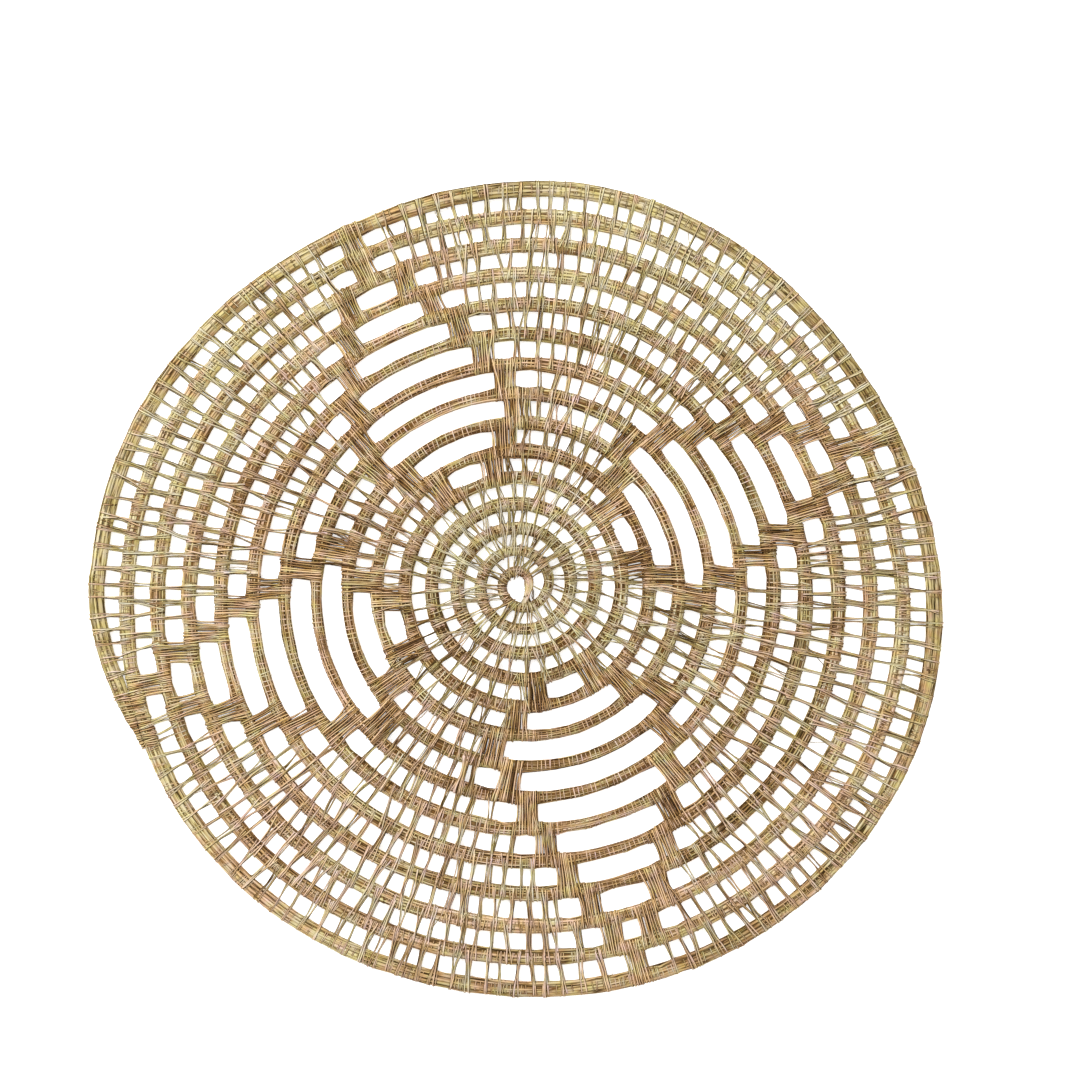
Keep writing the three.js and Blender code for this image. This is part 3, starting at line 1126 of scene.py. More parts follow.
@dataclass
class Bundle:
    """The bundle of the coil: a heart of pith, painted dark for the shade between the strips, and
    long strips of leaf laid round it.

    A pair is the least and the most that a strip may have. The tone and green pairs are a mean
    and a deviation, and the drifts are the step and the deviation of what wanders along the coil.
    """

    body: CoilBody
    shade: LeafShade
    centre: np.ndarray
    core_step: float = 5.5
    core_sides: int = 10
    core_lift: float = 0.02
    pith_turns: tuple[float, ...] = (4, 9, 13)
    pith_and_shade_tones: tuple[float, ...] = (-0.3, 0.2, 0.7)
    lanes: int = 19
    lane_stray: float = 0.25
    strip_length: tuple[float, float] = (70.0, 190.0)
    eye_length: tuple[float, float] = (20.4, 34.0)
    full_length_at: float = 0.12
    least_length: float = 6.0
    overlap: tuple[float, float] = (2.0, 9.0)
    end_room: float = 4.0
    stations: int = 21
    strip_width: tuple[float, float] = (0.95, 1.85)
    strip_thick: float = 0.5
    eye_narrow: float = 0.55
    narrow_turns: float = 4.0
    full_side: float = 2.9
    side_ease: float = 0.15
    taper_ends: float = 0.08
    taper_least: float = 0.2
    wander: float = 0.16
    wander_length: tuple[float, float] = (60.0, 140.0)
    lift: tuple[float, float] = (-0.16, 0.16)
    sunk_ends: float = 0.06
    sunk_depth: float = 0.5
    upright: float = 1.4
    tone: tuple[float, float] = (0.46, 0.12)
    tone_drift: tuple[float, float] = (70.0, 0.07)
    bare_tone: float = -0.02
    green: tuple[float, float] = (0.58, 0.12)
    green_drift: tuple[float, float] = (50.0, 0.35)
    split_at: float = 0.55
    seed: int = 21

    def core(self) -> bpy.types.Object:
        """The heart: an oval carried along the coil's path, closed at both ends.

        Its dark colour is pith and also painted shade, seen in the gaps between the strips.

        Returns:
            The piece.
        """
        total = self.body.total
        count = int(total / self.core_step)
        turn = self.body.turn_at(np.linspace(0, total, count))[:, None]
        angle = TAU * np.arange(self.core_sides) / self.core_sides
        angle = angle[None, :] + np.zeros_like(turn)
        turn = turn + np.zeros_like(angle)
        reach, height = self.body.surface(turn, angle, np.full_like(turn, self.core_lift))
        x = reach * np.cos(TAU * turn) + self.centre[0]
        y = reach * np.sin(TAU * turn) + self.centre[1]
        points = np.stack([x, y, height], -1).reshape(-1, 3) * MM
        index = np.arange(count * self.core_sides).reshape(count, self.core_sides)
        here, onward = index[:-1], index[1:]
        quads = np.stack([here, onward, np.roll(onward, -1, 1), np.roll(here, -1, 1)], -1)
        quads = quads.reshape(-1, 4)
        ends = [index[0], index[-1, ::-1]]
        if signed_volume(points, quads) < 0:
            quads = quads[:, ::-1]
            ends = [end[::-1] for end in ends]
        corners = np.concatenate([quads.ravel(), *ends])
        sizes = np.concatenate([np.full(len(quads), 4), [self.core_sides] * 2])
        length = np.linspace(0, total / MM_PER_CM, count)
        grain = np.stack([np.repeat(length, self.core_sides), angle.ravel() / TAU], -1)
        strand = np.tile([0.0, 0.0, 0.5, 1.0], (len(points), 1))
        # the core's tone, pith and painted shade between the strips, darker near the eye
        strand[:, 0] = np.interp(turn.ravel(), self.pith_turns, self.pith_and_shade_tones)
        return make_piece("coil_core", points, corners, sizes, grain[corners], strand)

    def leaf(self) -> list[bpy.types.Object]:
        """The strips: each keeps to a lane round the bundle, wanders a little and tapers off.

        A strip faces out of the section, sinks in at both ends, and is narrower near the eye and
        on a narrow side of the coil.

        Returns:
            Two pieces, one of the strips near the eye and one of those near the rim.
        """
        rng = np.random.default_rng(self.seed)
        starts, lengths, lanes = self._laid(rng)
        count, total = len(starts), self.body.total
        share = np.linspace(0, 1, self.stations)[None, :]
        along = starts[:, None] + lengths[:, None] * share
        turn = self.body.turn_at(along)
        wave = TAU * along / rng.uniform(*self.wander_length, (count, 1))
        sway = self.wander * np.sin(wave + rng.uniform(0, TAU, (count, 1)))
        stray = rng.uniform(-self.lane_stray, self.lane_stray, count)
        angle = (TAU * (lanes + stray) / self.lanes)[:, None] + sway
        mixture = self.shade.mixture(turn)
        sunk = 2 - smooth(share / self.sunk_ends) - smooth((1 - share) / self.sunk_ends)
        lift = rng.uniform(*self.lift, (count, 1)) * mixture - self.sunk_depth * sunk
        reach, height = self.body.surface(turn, angle, lift)
        taper = tapered(share, self.taper_ends, self.taper_least)
        narrow = np.minimum(1, blend(self.eye_narrow, 1.0, turn / self.narrow_turns))
        side = self.body.side(turn, np.cos(angle) > 0)
        narrow = narrow * np.minimum(1, side / self.full_side + self.side_ease)
        width = rng.uniform(*self.strip_width, (count, 1)) * taper * narrow / np.sqrt(mixture)
        mean, deviation = self.tone
        tone = mean + rng.normal(0, deviation, (count, 1)) * mixture + self.shade.tone(turn)
        tone = tone + wandering(rng, along, total, *self.tone_drift)
        tone = tone + self.bare_tone * self.body.bare(turn)
        green = rng.normal(*self.green, (count, 1)) + self.shade.green(turn)
        out, aside = np.cos(angle), TAU * turn
        facing = [out * np.cos(aside), out * np.sin(aside), np.sin(angle) * self.upright]
        strips = Strips(
            reach=reach,
            angle=aside,
            height=height,
            width=width,
            thick=np.full_like(width, self.strip_thick) * taper,
            # painted light and shade: the coil's side away from the eye lighter, the side facing it
            # darker
            tone=tone + self.shade.painted_side_shade * out,
            green=green + wandering(rng, along, total, *self.green_drift),
            closed=False,
            facing=np.stack(facing, -1),
        )
        outer = starts > self.split_at * total
        return [
            join_strips(name, [strips.only(chosen)], self.centre, self.seed + place)
            for place, name, chosen in (
                (1, "coil_leaf_inner", ~outer),
                (2, "coil_leaf_outer", outer),
            )
        ]

    def _laid(self, rng: np.random.Generator) -> tuple[np.ndarray, np.ndarray, np.ndarray]:
        """Lays strips end over end in every lane, shorter ones near the eye.

        Args:
            rng: the source of the random lengths.

        Returns:
            Where each strip starts along the coil, its length, and the number of its lane.
        """
        laid = []
        total = self.body.total
        for lane in range(self.lanes):
            at = -rng.uniform(0, self.strip_length[1])
            while at < total - self.end_room:
                share = min(max(at, 0) / (self.full_length_at * total), 1)
                shortest, longest = (
                    blend(*pair, share) for pair in zip(self.eye_length, self.strip_length)
                )
                run = rng.uniform(shortest, longest)
                begin, end = max(at, 0.0), min(at + run, total)
                if end - begin > self.least_length:
                    laid.append((begin, end - begin, lane))
                at += run - rng.uniform(*self.overlap)
        starts, lengths, lanes = np.array(laid).T
        return starts, lengths, lanes


@dataclass
class FirstStrands:
    """The strands that the coil starts from: they come out from under the next turn, slantwise.

    Distances are those of their middle at the turns. The spreads are half the fan's width at its
    start and its end, and each strand stands a little off its even place in the fan. The width
    pair is the least and the most, and the tone and green pairs are a mean and a deviation.
    """

    body: CoilBody
    shade: LeafShade
    centre: np.ndarray
    count: int = 16
    stations: int = 14
    turns: tuple[float, ...] = (-0.235, -0.2, -0.17, -0.1, 0.0, 0.12)
    distances: tuple[float, ...] = (9.6, 7.0, 5.6, 4.25, 4.0, 4.6)
    table_length: int = 200
    smoothed_over: int = 31
    spread: tuple[float, float] = (1.3, 1.7)
    side_stray: float = 0.12
    angle_stray: float = 0.05
    arch_width: float = 1.25
    arch_least: float = 0.05
    lift: float = 0.25
    start_rise: float = 0.75
    rise_rate: float = 3.0
    width: tuple[float, float] = (0.55, 0.85)
    thick: float = 0.45
    taper_ends: float = 0.1
    taper_least: float = 0.3
    tone: tuple[float, float] = (0.66, 0.14)
    green: tuple[float, float] = (0.5, 0.2)
    seed: int = 27

    def make(self) -> bpy.types.Object:
        """Strips side by side that follow the table's distances, fanned by the spread.

        The distances are smoothed by a running mean. The strips lie over an arch, which is a
        half ellipse across the fan, and rise a little at their start.

        Returns:
            The piece.
        """
        rng = np.random.default_rng(self.seed)
        share = np.linspace(0, 1, self.stations)[None, :]
        even = np.linspace(-1, 1, self.count)[:, None]
        side = even + rng.normal(0, self.side_stray, (self.count, 1))
        fine = np.linspace(self.turns[0], self.turns[-1], self.table_length)
        bend = np.interp(fine, self.turns, self.distances)
        bend = np.pad(bend, self.smoothed_over // 2, mode="edge")
        kernel = np.ones(self.smoothed_over) / self.smoothed_over
        bend = np.convolve(bend, kernel, mode="valid")
        turn = blend(self.turns[0], self.turns[-1], share) + np.zeros((self.count, 1))
        reach = np.interp(turn, fine, bend) + side * blend(*self.spread, share)
        arch = np.sqrt(np.maximum(1 - (side / self.arch_width) ** 2, self.arch_least))
        rise = self.body.tall(turn) * arch + self.lift
        risen = blend(self.start_rise, 1.0, smooth(share * self.rise_rate))
        taper = tapered(share, self.taper_ends, self.taper_least)
        strips = Strips(
            reach=reach,
            angle=TAU * turn + rng.normal(0, self.angle_stray, (self.count, 1)),
            height=self.body.centre + rise * risen,
            width=rng.uniform(*self.width, (self.count, 1)) * taper,
            thick=np.full_like(reach, self.thick) * taper,
            tone=rng.normal(*self.tone, (self.count, 1)) + self.shade.tone(turn),
            green=rng.normal(*self.green, (self.count, 1)) + self.shade.green(turn),
            closed=False,
            facing=np.zeros((*turn.shape, 3)) + UP,
        )
        return join_strips("first_strands", [strips], self.centre, self.seed + 1)


@dataclass
class Stitches:
    """The strip of leaf that binds the coil and ties each turn to the turn inside it.

    Rungs, blocks and wraps share these sizes: the lean in degrees, which eases from the eye's to
    the rim's, the turns that their own tables of values stand at, and the pitch and the lean of
    the blocks, which the wraps take up too.
    """

    body: CoilBody
    plan: StitchPlan
    shade: LeafShade
    centre: np.ndarray
    lean: float = 0.8
    eye_lean: float = -13.0
    lean_turns: float = 3.2
    table_turns: tuple[float, ...] = (0, 3, 5, 9.5, 10.5)
    block_pitch: float = 1.08
    block_lean: float = -3.0

    SHOULDER = 42
    OVER_OUTER = (108, 72, 38, 0, -40, -90)
    IN_GAP_AT = (0.3, 0.7)
    LOWER_SAG = 0.75
    LOWER = (0,) * 9 + (0.1, 0.5, 0.9, 1, 1, 1, 1, 1, 0.6)
    # How much of the gap's change each station takes: painted gap shade on the tone, most on the     lower run, and olive on the green.
    IN_GAP = (0, 0, 0, 0.25, 0.9, 0.9, 0.3, 0, 0, 0, 0, 0.6, 1.2, 1.5, 1.5, 1.2, 0.5, 0)
    BOWED = (0, 0, 0, 0.2, 0.85, 0.85, 0.2, 0, 0, 0, 0, 0, -0.2, -0.85, -0.85, -0.2, 0, 0)
    INNER = (1.8, 1.6, 1.3, 1, 0.4, 0.1, 0, 0, 0, 0, 0, 0, 0, 0.1, 0.4, 1, 1.3, 1.7)
    OUTER = (0, 0, 0, 0, 0.1, 0.4, 1, 1.3, 1.5, 1.6, 1.4, 1.2, 1, 0.4, 0.1, 0, 0, 0)

    def _tie(
        self,
        turn: np.ndarray,
        place: np.ndarray,
        lean: np.ndarray,
        skew: np.ndarray,
        pierce: np.ndarray,
        sag: np.ndarray,
        lift: np.ndarray,
        bow: np.ndarray,
        inner: np.ndarray,
        outer: np.ndarray,
    ) -> tuple[np.ndarray, np.ndarray, np.ndarray]:
        """The lines of stitches that tie a turn to the next one out, of 18 stations each.

        A stitch comes up through the inner coil, crosses the gap at a sagging height, goes over
        and round the outer coil and comes back below. It shifts sideways with its distance from
        the middle of the gap, by the tangent of its lean, and by the skew, the bow and the two
        spreads times a table of shares, with a value for each station.

        Args:
            turn: the place of each stitch on the inner coil.
            place: how far along the coil it stands from there, in millimetres.
            lean: its lean in degrees, over 0 where it runs on as it goes outwards.
            skew: how far along the coil its lower run lies from its upper one.
            pierce: where it comes up on the inner coil, as an angle round it in degrees.
            sag: how far its upper run falls in the gap below the coil's top.
            lift: how far it stands off the bundle.
            bow: how far it bows sideways in the gap.
            inner: how far it spreads sideways over the inner coil.
            outer: how far it spreads sideways over the outer coil.

        Returns:
            Distance from the eye, angle round it and height of each station.
        """
        column, over = turn[:, None], lift[:, None]
        hole, fall = pierce[:, None], sag[:, None]

        def station(turns_out: int, degrees: float | np.ndarray) -> tuple[np.ndarray, np.ndarray]:
            """A station on the inner coil or the one a turn further out."""
            around = np.radians(degrees) + np.zeros_like(column)
            return self.body.surface(column + turns_out, around, over)

        up, down = self.SHOULDER, -self.SHOULDER
        shoulders = (station(0, up), station(1, 180 - up), fall)
        feet = (station(0, down), station(1, -180 - down), -fall * self.LOWER_SAG)

        def gap(share: float, ends: tuple) -> tuple[np.ndarray, np.ndarray]:
            """A station between the coils, at a share of the way from the inner one."""
            start, end, dip = ends
            return blend(start[0], end[0], share), blend(start[1], end[1], share) - dip

        near, far = self.IN_GAP_AT
        stations = [
            *(station(0, blend(hole, self.SHOULDER, share)) for share in (0, 1 / 3, 2 / 3)),
            shoulders[0],
            gap(near, shoulders),
            gap(far, shoulders),
            shoulders[1],
            *(station(1, degrees) for degrees in self.OVER_OUTER),
            feet[1],
            gap(far, feet),
            gap(near, feet),
            feet[0],
            station(0, -hole),
        ]
        reach, height = (np.concatenate(parts, axis=1) for parts in zip(*stations))
        middle = (shoulders[0][0] + shoulders[1][0]) / 2
        aside = np.tan(np.radians(lean))[:, None] * (reach - middle) + place[:, None]
        for amount, profile in (
            (skew, self.LOWER),
            (bow, self.BOWED),
            (inner, self.INNER),
            (outer, self.OUTER),
        ):
            aside = aside + amount[:, None] * np.array(profile)[None, :]
        return reach, TAU * column + aside / np.maximum(reach, 1.0), height

    def _leaning(self, turn: np.ndarray) -> np.ndarray:
        """The lean of the stitches in degrees: an easing from the eye's to the rim's."""
        return blend(self.lean, self.eye_lean, np.exp(-np.maximum(turn, 0) / self.lean_turns))

    def _graded(self, turn: np.ndarray, values: tuple[float, ...]) -> np.ndarray:
        """Values at these turns, from a table with one for each of the table turns."""
        return np.interp(turn, self.table_turns, values)

    def _in_gap(self, value: np.ndarray, more: float) -> np.ndarray:
        """The value at each station: so much more where the strip crosses the gap."""
        return value[:, None] + more * np.array(self.IN_GAP)[None, :]


@dataclass
class Rungs(Stitches):
    """The rungs: strands that meet in the gap and fan out over the coils.

    Graded tables have a value for each of the table turns. A pair is the least and the most, the
    tone and green pairs are a mean and a deviation, and the drifts a step and a deviation. What
    is shared is the deviation of a random part that all the strands of a rung have in common.
    Apart is how far the strands stand from each other in the gap, and the waist how much of that
    they spread again over the coils.
    """

    strand_counts: tuple[int, ...] = (2, 3, 4, 5)
    eye_chances: tuple[float, ...] = (0.1, 0.3, 0.4, 0.2)
    rim_chances: tuple[float, ...] = (0.5, 0.38, 0.12, 0.0)
    fine_turns: float = 7.0
    narrowest: tuple[float, ...] = (0.42, 0.38, 0.43, 0.57, 0.6)
    widest: tuple[float, ...] = (0.64, 0.62, 0.73, 0.94, 0.94)
    thick: float = 0.42
    broad_count: int = 7
    broad_width: float = 1.6
    broad_tone: float = 0.85
    apart: tuple[float, ...] = (0.55, 0.5, 0.46, 0.44, 0.42)
    fan: tuple[float, ...] = (7.5, 6.0, 5.0, 4.0, 3.5)
    waist: float = 0.85
    spread: float = 0.2
    forward_chance: float = 0.7
    skew: tuple[float, float] = (0.3, 0.9)
    pierce: tuple[float, float] = (88.0, 168.0)
    sag: tuple[float, float] = (0.2, 0.6)
    sag_stray: float = 0.12
    lift: tuple[float, float] = (0.24, 0.44)
    shared_place: float = 0.15
    shared_lean: float = 3.2
    shared_bow: float = 0.16
    shared_tone: float = 0.07
    tone: tuple[float, float] = (0.6, 0.09)
    tone_pivot: float = 0.62
    tone_drift: tuple[float, float] = (60.0, 0.06)
    # painted shade: the rung's tone is lowered where it crosses the gap, most on its lower run
    painted_gap_shade: float = -0.07
    green: tuple[float, float] = (0.35, 0.09)
    green_drift: tuple[float, float] = (60.0, 0.25)
    gap_green: float = 0.4
    splits: tuple[float, ...] = (8.0, 11.4)
    seed: int = 31

    def make(self) -> list[bpy.types.Object]:
        """All the strands of all the rungs.

        Returns:
            A piece for each band of turns between the eye and the rim.
        """
        rng = np.random.default_rng(self.seed)
        own = self._strands(rng)
        turn = self.plan.rungs[own]
        count, rungs = len(turn), len(self.plan.rungs)

        def shared(deviation: float) -> np.ndarray:
            """A random part that the strands of a rung have in common."""
            return rng.normal(0, deviation, rungs)[own]

        side = np.where(rng.uniform(size=rungs) < self.forward_chance, 1.0, -1.0)[own]
        width = rng.uniform(self._graded(turn, self.narrowest), self._graded(turn, self.widest))
        tone = shared(self.shared_tone) + rng.normal(*self.tone, count)
        broad = rng.choice(count, self.broad_count, replace=False)
        width[broad] = self.broad_width
        tone[broad] = self.broad_tone
        apart = rng.normal(0, 1, count) * self._graded(turn, self.apart)
        fan = rng.normal(0, 1, count) * self._graded(turn, self.fan)
        reach, angle, height = self._tie(
            turn,
            lean=self._leaning(turn) + shared(self.shared_lean) + fan,
            place=shared(self.shared_place) + apart,
            skew=side * width * rng.uniform(*self.skew, count),
            pierce=rng.uniform(*self.pierce, count),
            sag=rng.uniform(*self.sag, rungs)[own] + rng.normal(0, self.sag_stray, count),
            lift=rng.uniform(*self.lift, count),
            bow=shared(self.shared_bow),
            inner=rng.normal(0, self.spread, count) + self.waist * apart,
            outer=rng.normal(0, self.spread, count) + self.waist * apart,
        )
        along, total = self.body.length_at(turn), self.body.total
        mixture = self.shade.mixture(turn)
        tone = self.tone_pivot + (tone - self.tone_pivot) * mixture + self.shade.tone(turn)
        tone = tone + wandering(rng, along, total, *self.tone_drift)
        green = rng.normal(*self.green, count) + self.shade.green(turn)
        green = green + wandering(rng, along, total, *self.green_drift)
        strips = Strips(
            reach=reach,
            angle=angle,
            height=height,
            width=width[:, None] + np.zeros_like(reach),
            thick=np.full_like(reach, self.thick),
            tone=self._in_gap(tone, self.painted_gap_shade),
            green=self._in_gap(green, self.gap_green),
            closed=True,
            along=True,
        )
        band = np.searchsorted(self.splits, turn, side="right")
        return [
            join_strips(f"rungs_{i}", [strips.only(band == i - 1)], self.centre, self.seed + i)
            for i in range(1, len(self.splits) + 2)
        ]

    def _strands(self, rng: np.random.Generator) -> np.ndarray:
        """Draws how many strands each rung has: more of them, and finer ones, near the eye.

        Args:
            rng: the source of the random counts.

        Returns:
            The number of its rung, for each strand.
        """
        rungs = self.plan.rungs
        strands = np.where(
            rungs < self.fine_turns,
            rng.choice(self.strand_counts, len(rungs), p=self.eye_chances),
            rng.choice(self.strand_counts, len(rungs), p=self.rim_chances),
        )
        strands[rungs == self.plan.lone_rung] = 1
        return np.repeat(np.arange(len(rungs)), strands)


@dataclass
class Blocks(Stitches):
    """The dense blocks: stitches side by side, with one lean in each block.

    Some more stitches stray over the even ones, higher, narrower and more aslant. Leans are the
    deviations of a block's lean and of its change across the block, and own leans the deviation
    of a stitch's own lean and how much more a stray one has. Flare is how far the stitches at a
    block's edges spread over its coils. Other pairs are the least and the most, and those of
    skew, tone and green a mean and a deviation.
    """

    stray_share: float = 0.3
    leans: tuple[float, float] = (3.5, 1.5)
    own_leans: tuple[float, float] = (1.2, 5.0)
    flare: float = 0.8
    place: float = 0.08
    skew: tuple[float, float] = (0.46, 0.1)
    pierce: tuple[float, float] = (125.0, 178.0)
    sag: tuple[float, float] = (0.05, 0.35)
    stray_sag: float = 0.15
    lift: tuple[float, float] = (0.26, 0.4)
    stray_lift: float = 0.2
    bow: float = 0.1
    spread: float = 0.12
    width: tuple[float, float] = (0.66, 0.94)
    stray_width: float = 0.1
    thick: float = 0.62
    tone: tuple[float, float] = (0.73, 0.19)
    block_tone: float = 0.04
    # painted shade: the stitch's tone is lowered where it crosses the gap, most on its lower run
    painted_gap_shade: float = -0.04
    green: tuple[float, float] = (0.3, 0.09)
    seed: int = 41

    def make(self) -> bpy.types.Object:
        """All the stitches of all the blocks.

        Returns:
            The piece.
        """
        rng = np.random.default_rng(self.seed)
        turn, lean, hue, over, edge = self._laid(rng)
        count = len(turn)
        flare = edge * self.flare
        own_lean, stray_lean = self.own_leans
        reach, angle, height = self._tie(
            turn,
            place=rng.normal(0, self.place, count),
            lean=lean + rng.normal(0, 1, count) * (own_lean + stray_lean * over),
            skew=rng.normal(*self.skew, count),
            pierce=rng.uniform(*self.pierce, count),
            sag=rng.uniform(*self.sag, count) - self.stray_sag * over,
            lift=rng.uniform(*self.lift, count) + self.stray_lift * over,
            bow=rng.normal(0, self.bow, count),
            inner=rng.normal(0, self.spread, count) + flare,
            outer=rng.normal(0, self.spread, count) + flare,
        )
        mean, deviation = self.tone
        tone = mean + rng.normal(0, deviation, count) * self.shade.mixture(turn)
        tone = tone + hue + self.shade.tone(turn)
        width = rng.uniform(*self.width, count) - self.stray_width * over
        strips = Strips(
            reach=reach,
            angle=angle,
            height=height,
            width=width[:, None] + np.zeros_like(reach),
            thick=np.full_like(reach, self.thick),
            tone=self._in_gap(tone, self.painted_gap_shade),
            green=(rng.normal(*self.green, count) + self.shade.green(turn))[:, None],
            closed=True,
            along=True,
        )
        return join_strips("block_stitches", [strips], self.centre, self.seed + 1)

    def _laid(self, rng: np.random.Generator) -> np.ndarray:
        """Lays stitches side by side in each block, and strays at random among them.

        Args:
            rng: the source of the random places, leans and tones.

        Returns:
            Rows of places, leans, what to add to tone, 1 for a stray, and how near each stitch is
            to an edge of its block, as the cube of its place in it from -1 to 1.
        """
        lean_spread, fan_spread = self.leans
        laid = []
        for item in self.plan.spans(Course.BLOCK):
            length = item.end - item.start
            pitch = self.plan.path.in_turns(self.block_pitch, item.start)
            count = max(round(length / pitch), 2)
            more = round(count * self.stray_share)
            share = np.concatenate([evenly(count), rng.uniform(0, 1, more)])
            across = 2 * share - 1
            lean = self.block_lean + rng.normal(0, lean_spread) + across * rng.normal(0, fan_spread)
            hue = np.full(count + more, rng.normal(0, self.block_tone))
            stray = np.arange(count + more) >= count
            laid.append([item.start + share * length, lean, hue, stray, across**3])
        return np.concatenate(laid, axis=1)


@dataclass(frozen=True)
class WrapKind:
    """A kind of wrap: its width, how unevenly it slants, and its tone at the table turns."""

    width: tuple[float, float]
    slant: float
    tones: tuple[float, ...]


@dataclass
class Wraps(Stitches):
    """The wraps on the coil alone: beside the ladders, the slots and the blocks.

    Shares are the places of wraps between one rung and the next, and chances how many of them
    there are. The first wraps' start, end and step are in turns, from the coil's start. A pair
    is the least and the most, the green pair a mean and a deviation, and the drift a step and a
    deviation.
    """

    ladder: WrapKind = WrapKind((0.5, 0.88), 0.85, (0.64, 0.64, 0.63, 0.63, 0.55))
    slot: WrapKind = WrapKind((0.42, 0.62), 0.3, (0.84,) * 5)
    block: WrapKind = WrapKind((0.6, 0.9), 0.45, (0.5,) * 5)
    stations: int = 8
    slant_width: float = 6.0
    lift: tuple[float, float] = (0.16, 0.3)
    thick: float = 0.42
    tone_spread: float = 0.14
    green: tuple[float, float] = (0.35, 0.1)
    end_room: float = 0.01
    first_wraps: tuple[float, float, float] = (0.04, 1, 0.03)
    shares: tuple[float, ...] = (0.14, 0.29, 0.44, 0.59, 0.74, 0.9)
    close_shares: tuple[float, ...] = (0.1, 0.22, 0.34, 0.46, 0.58, 0.7, 0.82, 0.94)
    close_turns: float = 4.0
    chances: tuple[float, ...] = (0.85, 0.85, 0.92, 0.88, 0.8)
    rim_chance: float = 0.4
    chance_drift: tuple[float, float] = (22.0, 0.34)
    ladder_stray: float = 0.6
    slot_pitch: float = 1.85
    slot_stray: float = 0.12
    block_reach: float = 4.0
    block_stray: float = 0.2
    block_chance: float = 0.9
    seed: int = 51

    def make(self) -> list[bpy.types.Object]:
        """All the wraps.

        Returns:
            A piece of each kind.
        """
        rng = np.random.default_rng(self.seed)
        made = []
        for name, places, kind in (
            ("ladder_wraps", self._between_rungs(rng), self.ladder),
            ("slot_wraps", self._along_slots(rng), self.slot),
            ("block_wraps", self._beside_blocks(rng), self.block),
        ):
            turn = places[places < self.plan.path.last_turn - self.end_room]
            count = len(turn)
            uneven = rng.normal(0, self.tone_spread, count) * self.shade.mixture(turn)
            lean = self._leaning(turn) + self.block_lean
            slant = self.slant_width * np.tan(np.radians(lean)) + rng.normal(0, kind.slant, count)
            reach, angle, height = self._ring(turn, slant, rng.uniform(*self.lift, count))
            tone = self._graded(turn, kind.tones) + uneven + self.shade.tone(turn)
            strips = Strips(
                reach=reach,
                angle=angle,
                height=height,
                width=rng.uniform(*kind.width, count)[:, None] + np.zeros_like(reach),
                thick=np.full_like(reach, self.thick),
                # painted light and shade: the coil's side away from the eye lighter, the side
                # facing it darker
                tone=tone[:, None] + self.shade.painted_side_shade * np.cos(self._round()),
                green=(rng.normal(*self.green, count) + self.shade.green(turn))[:, None],
                closed=True,
                along=True,
            )
            made.append(join_strips(name, [strips], self.centre, self.seed + 1 + len(made)))
        return made

    def _ring(
        self, turn: np.ndarray, slant: np.ndarray, lift: np.ndarray
    ) -> tuple[np.ndarray, np.ndarray, np.ndarray]:
        """The lines of wraps round the coil alone, each an oval that slants along the coil.

        Args:
            turn: where each wrap stands.
            slant: how far its top runs along the coil from one side to the other.
            lift: how far it stands off the bundle.

        Returns:
            Distance from the eye, angle round it and height of each station.
        """
        around = self._round()[None, :] + np.zeros((len(turn), 1))
        reach, height = self.body.surface(turn[:, None], around, lift[:, None])
        aside = slant[:, None] * np.cos(around) / 2 * np.sign(np.sin(around))
        centre = self.body.path.radius(turn)[:, None]
        return reach, TAU * turn[:, None] + aside / np.maximum(centre, 1.0), height

    def _round(self) -> np.ndarray:
        """Even angles round the section, from the side that faces the eye over the top."""
        return math.pi - TAU * evenly(self.stations)

    def _between_rungs(self, rng: np.random.Generator) -> np.ndarray:
        """The wraps on the outer coil of each ladder, closer together near the eye.

        Args:
            rng: the source of the random choice and places.

        Returns:
            Their places, in turns.
        """
        path, rungs = self.plan.path, self.plan.rungs
        start, end, step = self.first_wraps
        places = [np.arange(path.first_turn + start, path.first_turn + end, step)]
        for item in self.plan.spans(Course.LADDER):
            own = rungs[(rungs >= item.start) & (rungs <= item.end)]
            along = self.body.length_at(own[:-1] + 1)
            for share in self.shares if item.start > self.close_turns else self.close_shares:
                between = blend(own[:-1], own[1:], share) + 1
                chance = self._graded(between, self.chances)
                chance[between > path.last_turn - 1] = self.rim_chance
                chance += wandering(rng, along, self.body.total, *self.chance_drift)
                between = between[rng.uniform(size=len(between)) < chance]
                stray = rng.normal(0, self.ladder_stray, len(between))
                places.append(between + stray * path.in_turns(1, item.start))
        return np.concatenate(places)

    def _along_slots(self, rng: np.random.Generator) -> np.ndarray:
        """The wraps on the outer coil of each slot and wide gap, at an even pitch.

        Args:
            rng: the source of the random places.

        Returns:
            Their places, in turns.
        """
        places = []
        for item in self.plan.spans(Course.SLOT, Course.GAP):
            length = item.end - item.start
            pitch = self.plan.path.in_turns(self.slot_pitch, item.start)
            count = max(round(length / pitch), 2)
            even = item.start + evenly(count) * length
            places.append(even + 1 + rng.normal(0, self.slot_stray, count) * pitch)
        return np.concatenate(places)

    def _beside_blocks(self, rng: np.random.Generator) -> np.ndarray:
        """The wraps that carry each block's stitching on over both of its coils.

        Args:
            rng: the source of the random choice and places.

        Returns:
            Their places, in turns.
        """
        places = []
        for item in self.plan.spans(Course.BLOCK):
            per_mm = self.plan.path.in_turns(1, item.start)
            reach = self.block_reach * per_mm
            for turns_out in (0, 1):
                at = np.arange(item.start - reach, item.end + reach, self.block_pitch * per_mm)
                at = at + rng.normal(0, self.block_stray, len(at)) * per_mm
                places.append(at[rng.uniform(size=len(at)) < self.block_chance] + turns_out)
        return np.concatenate(places)


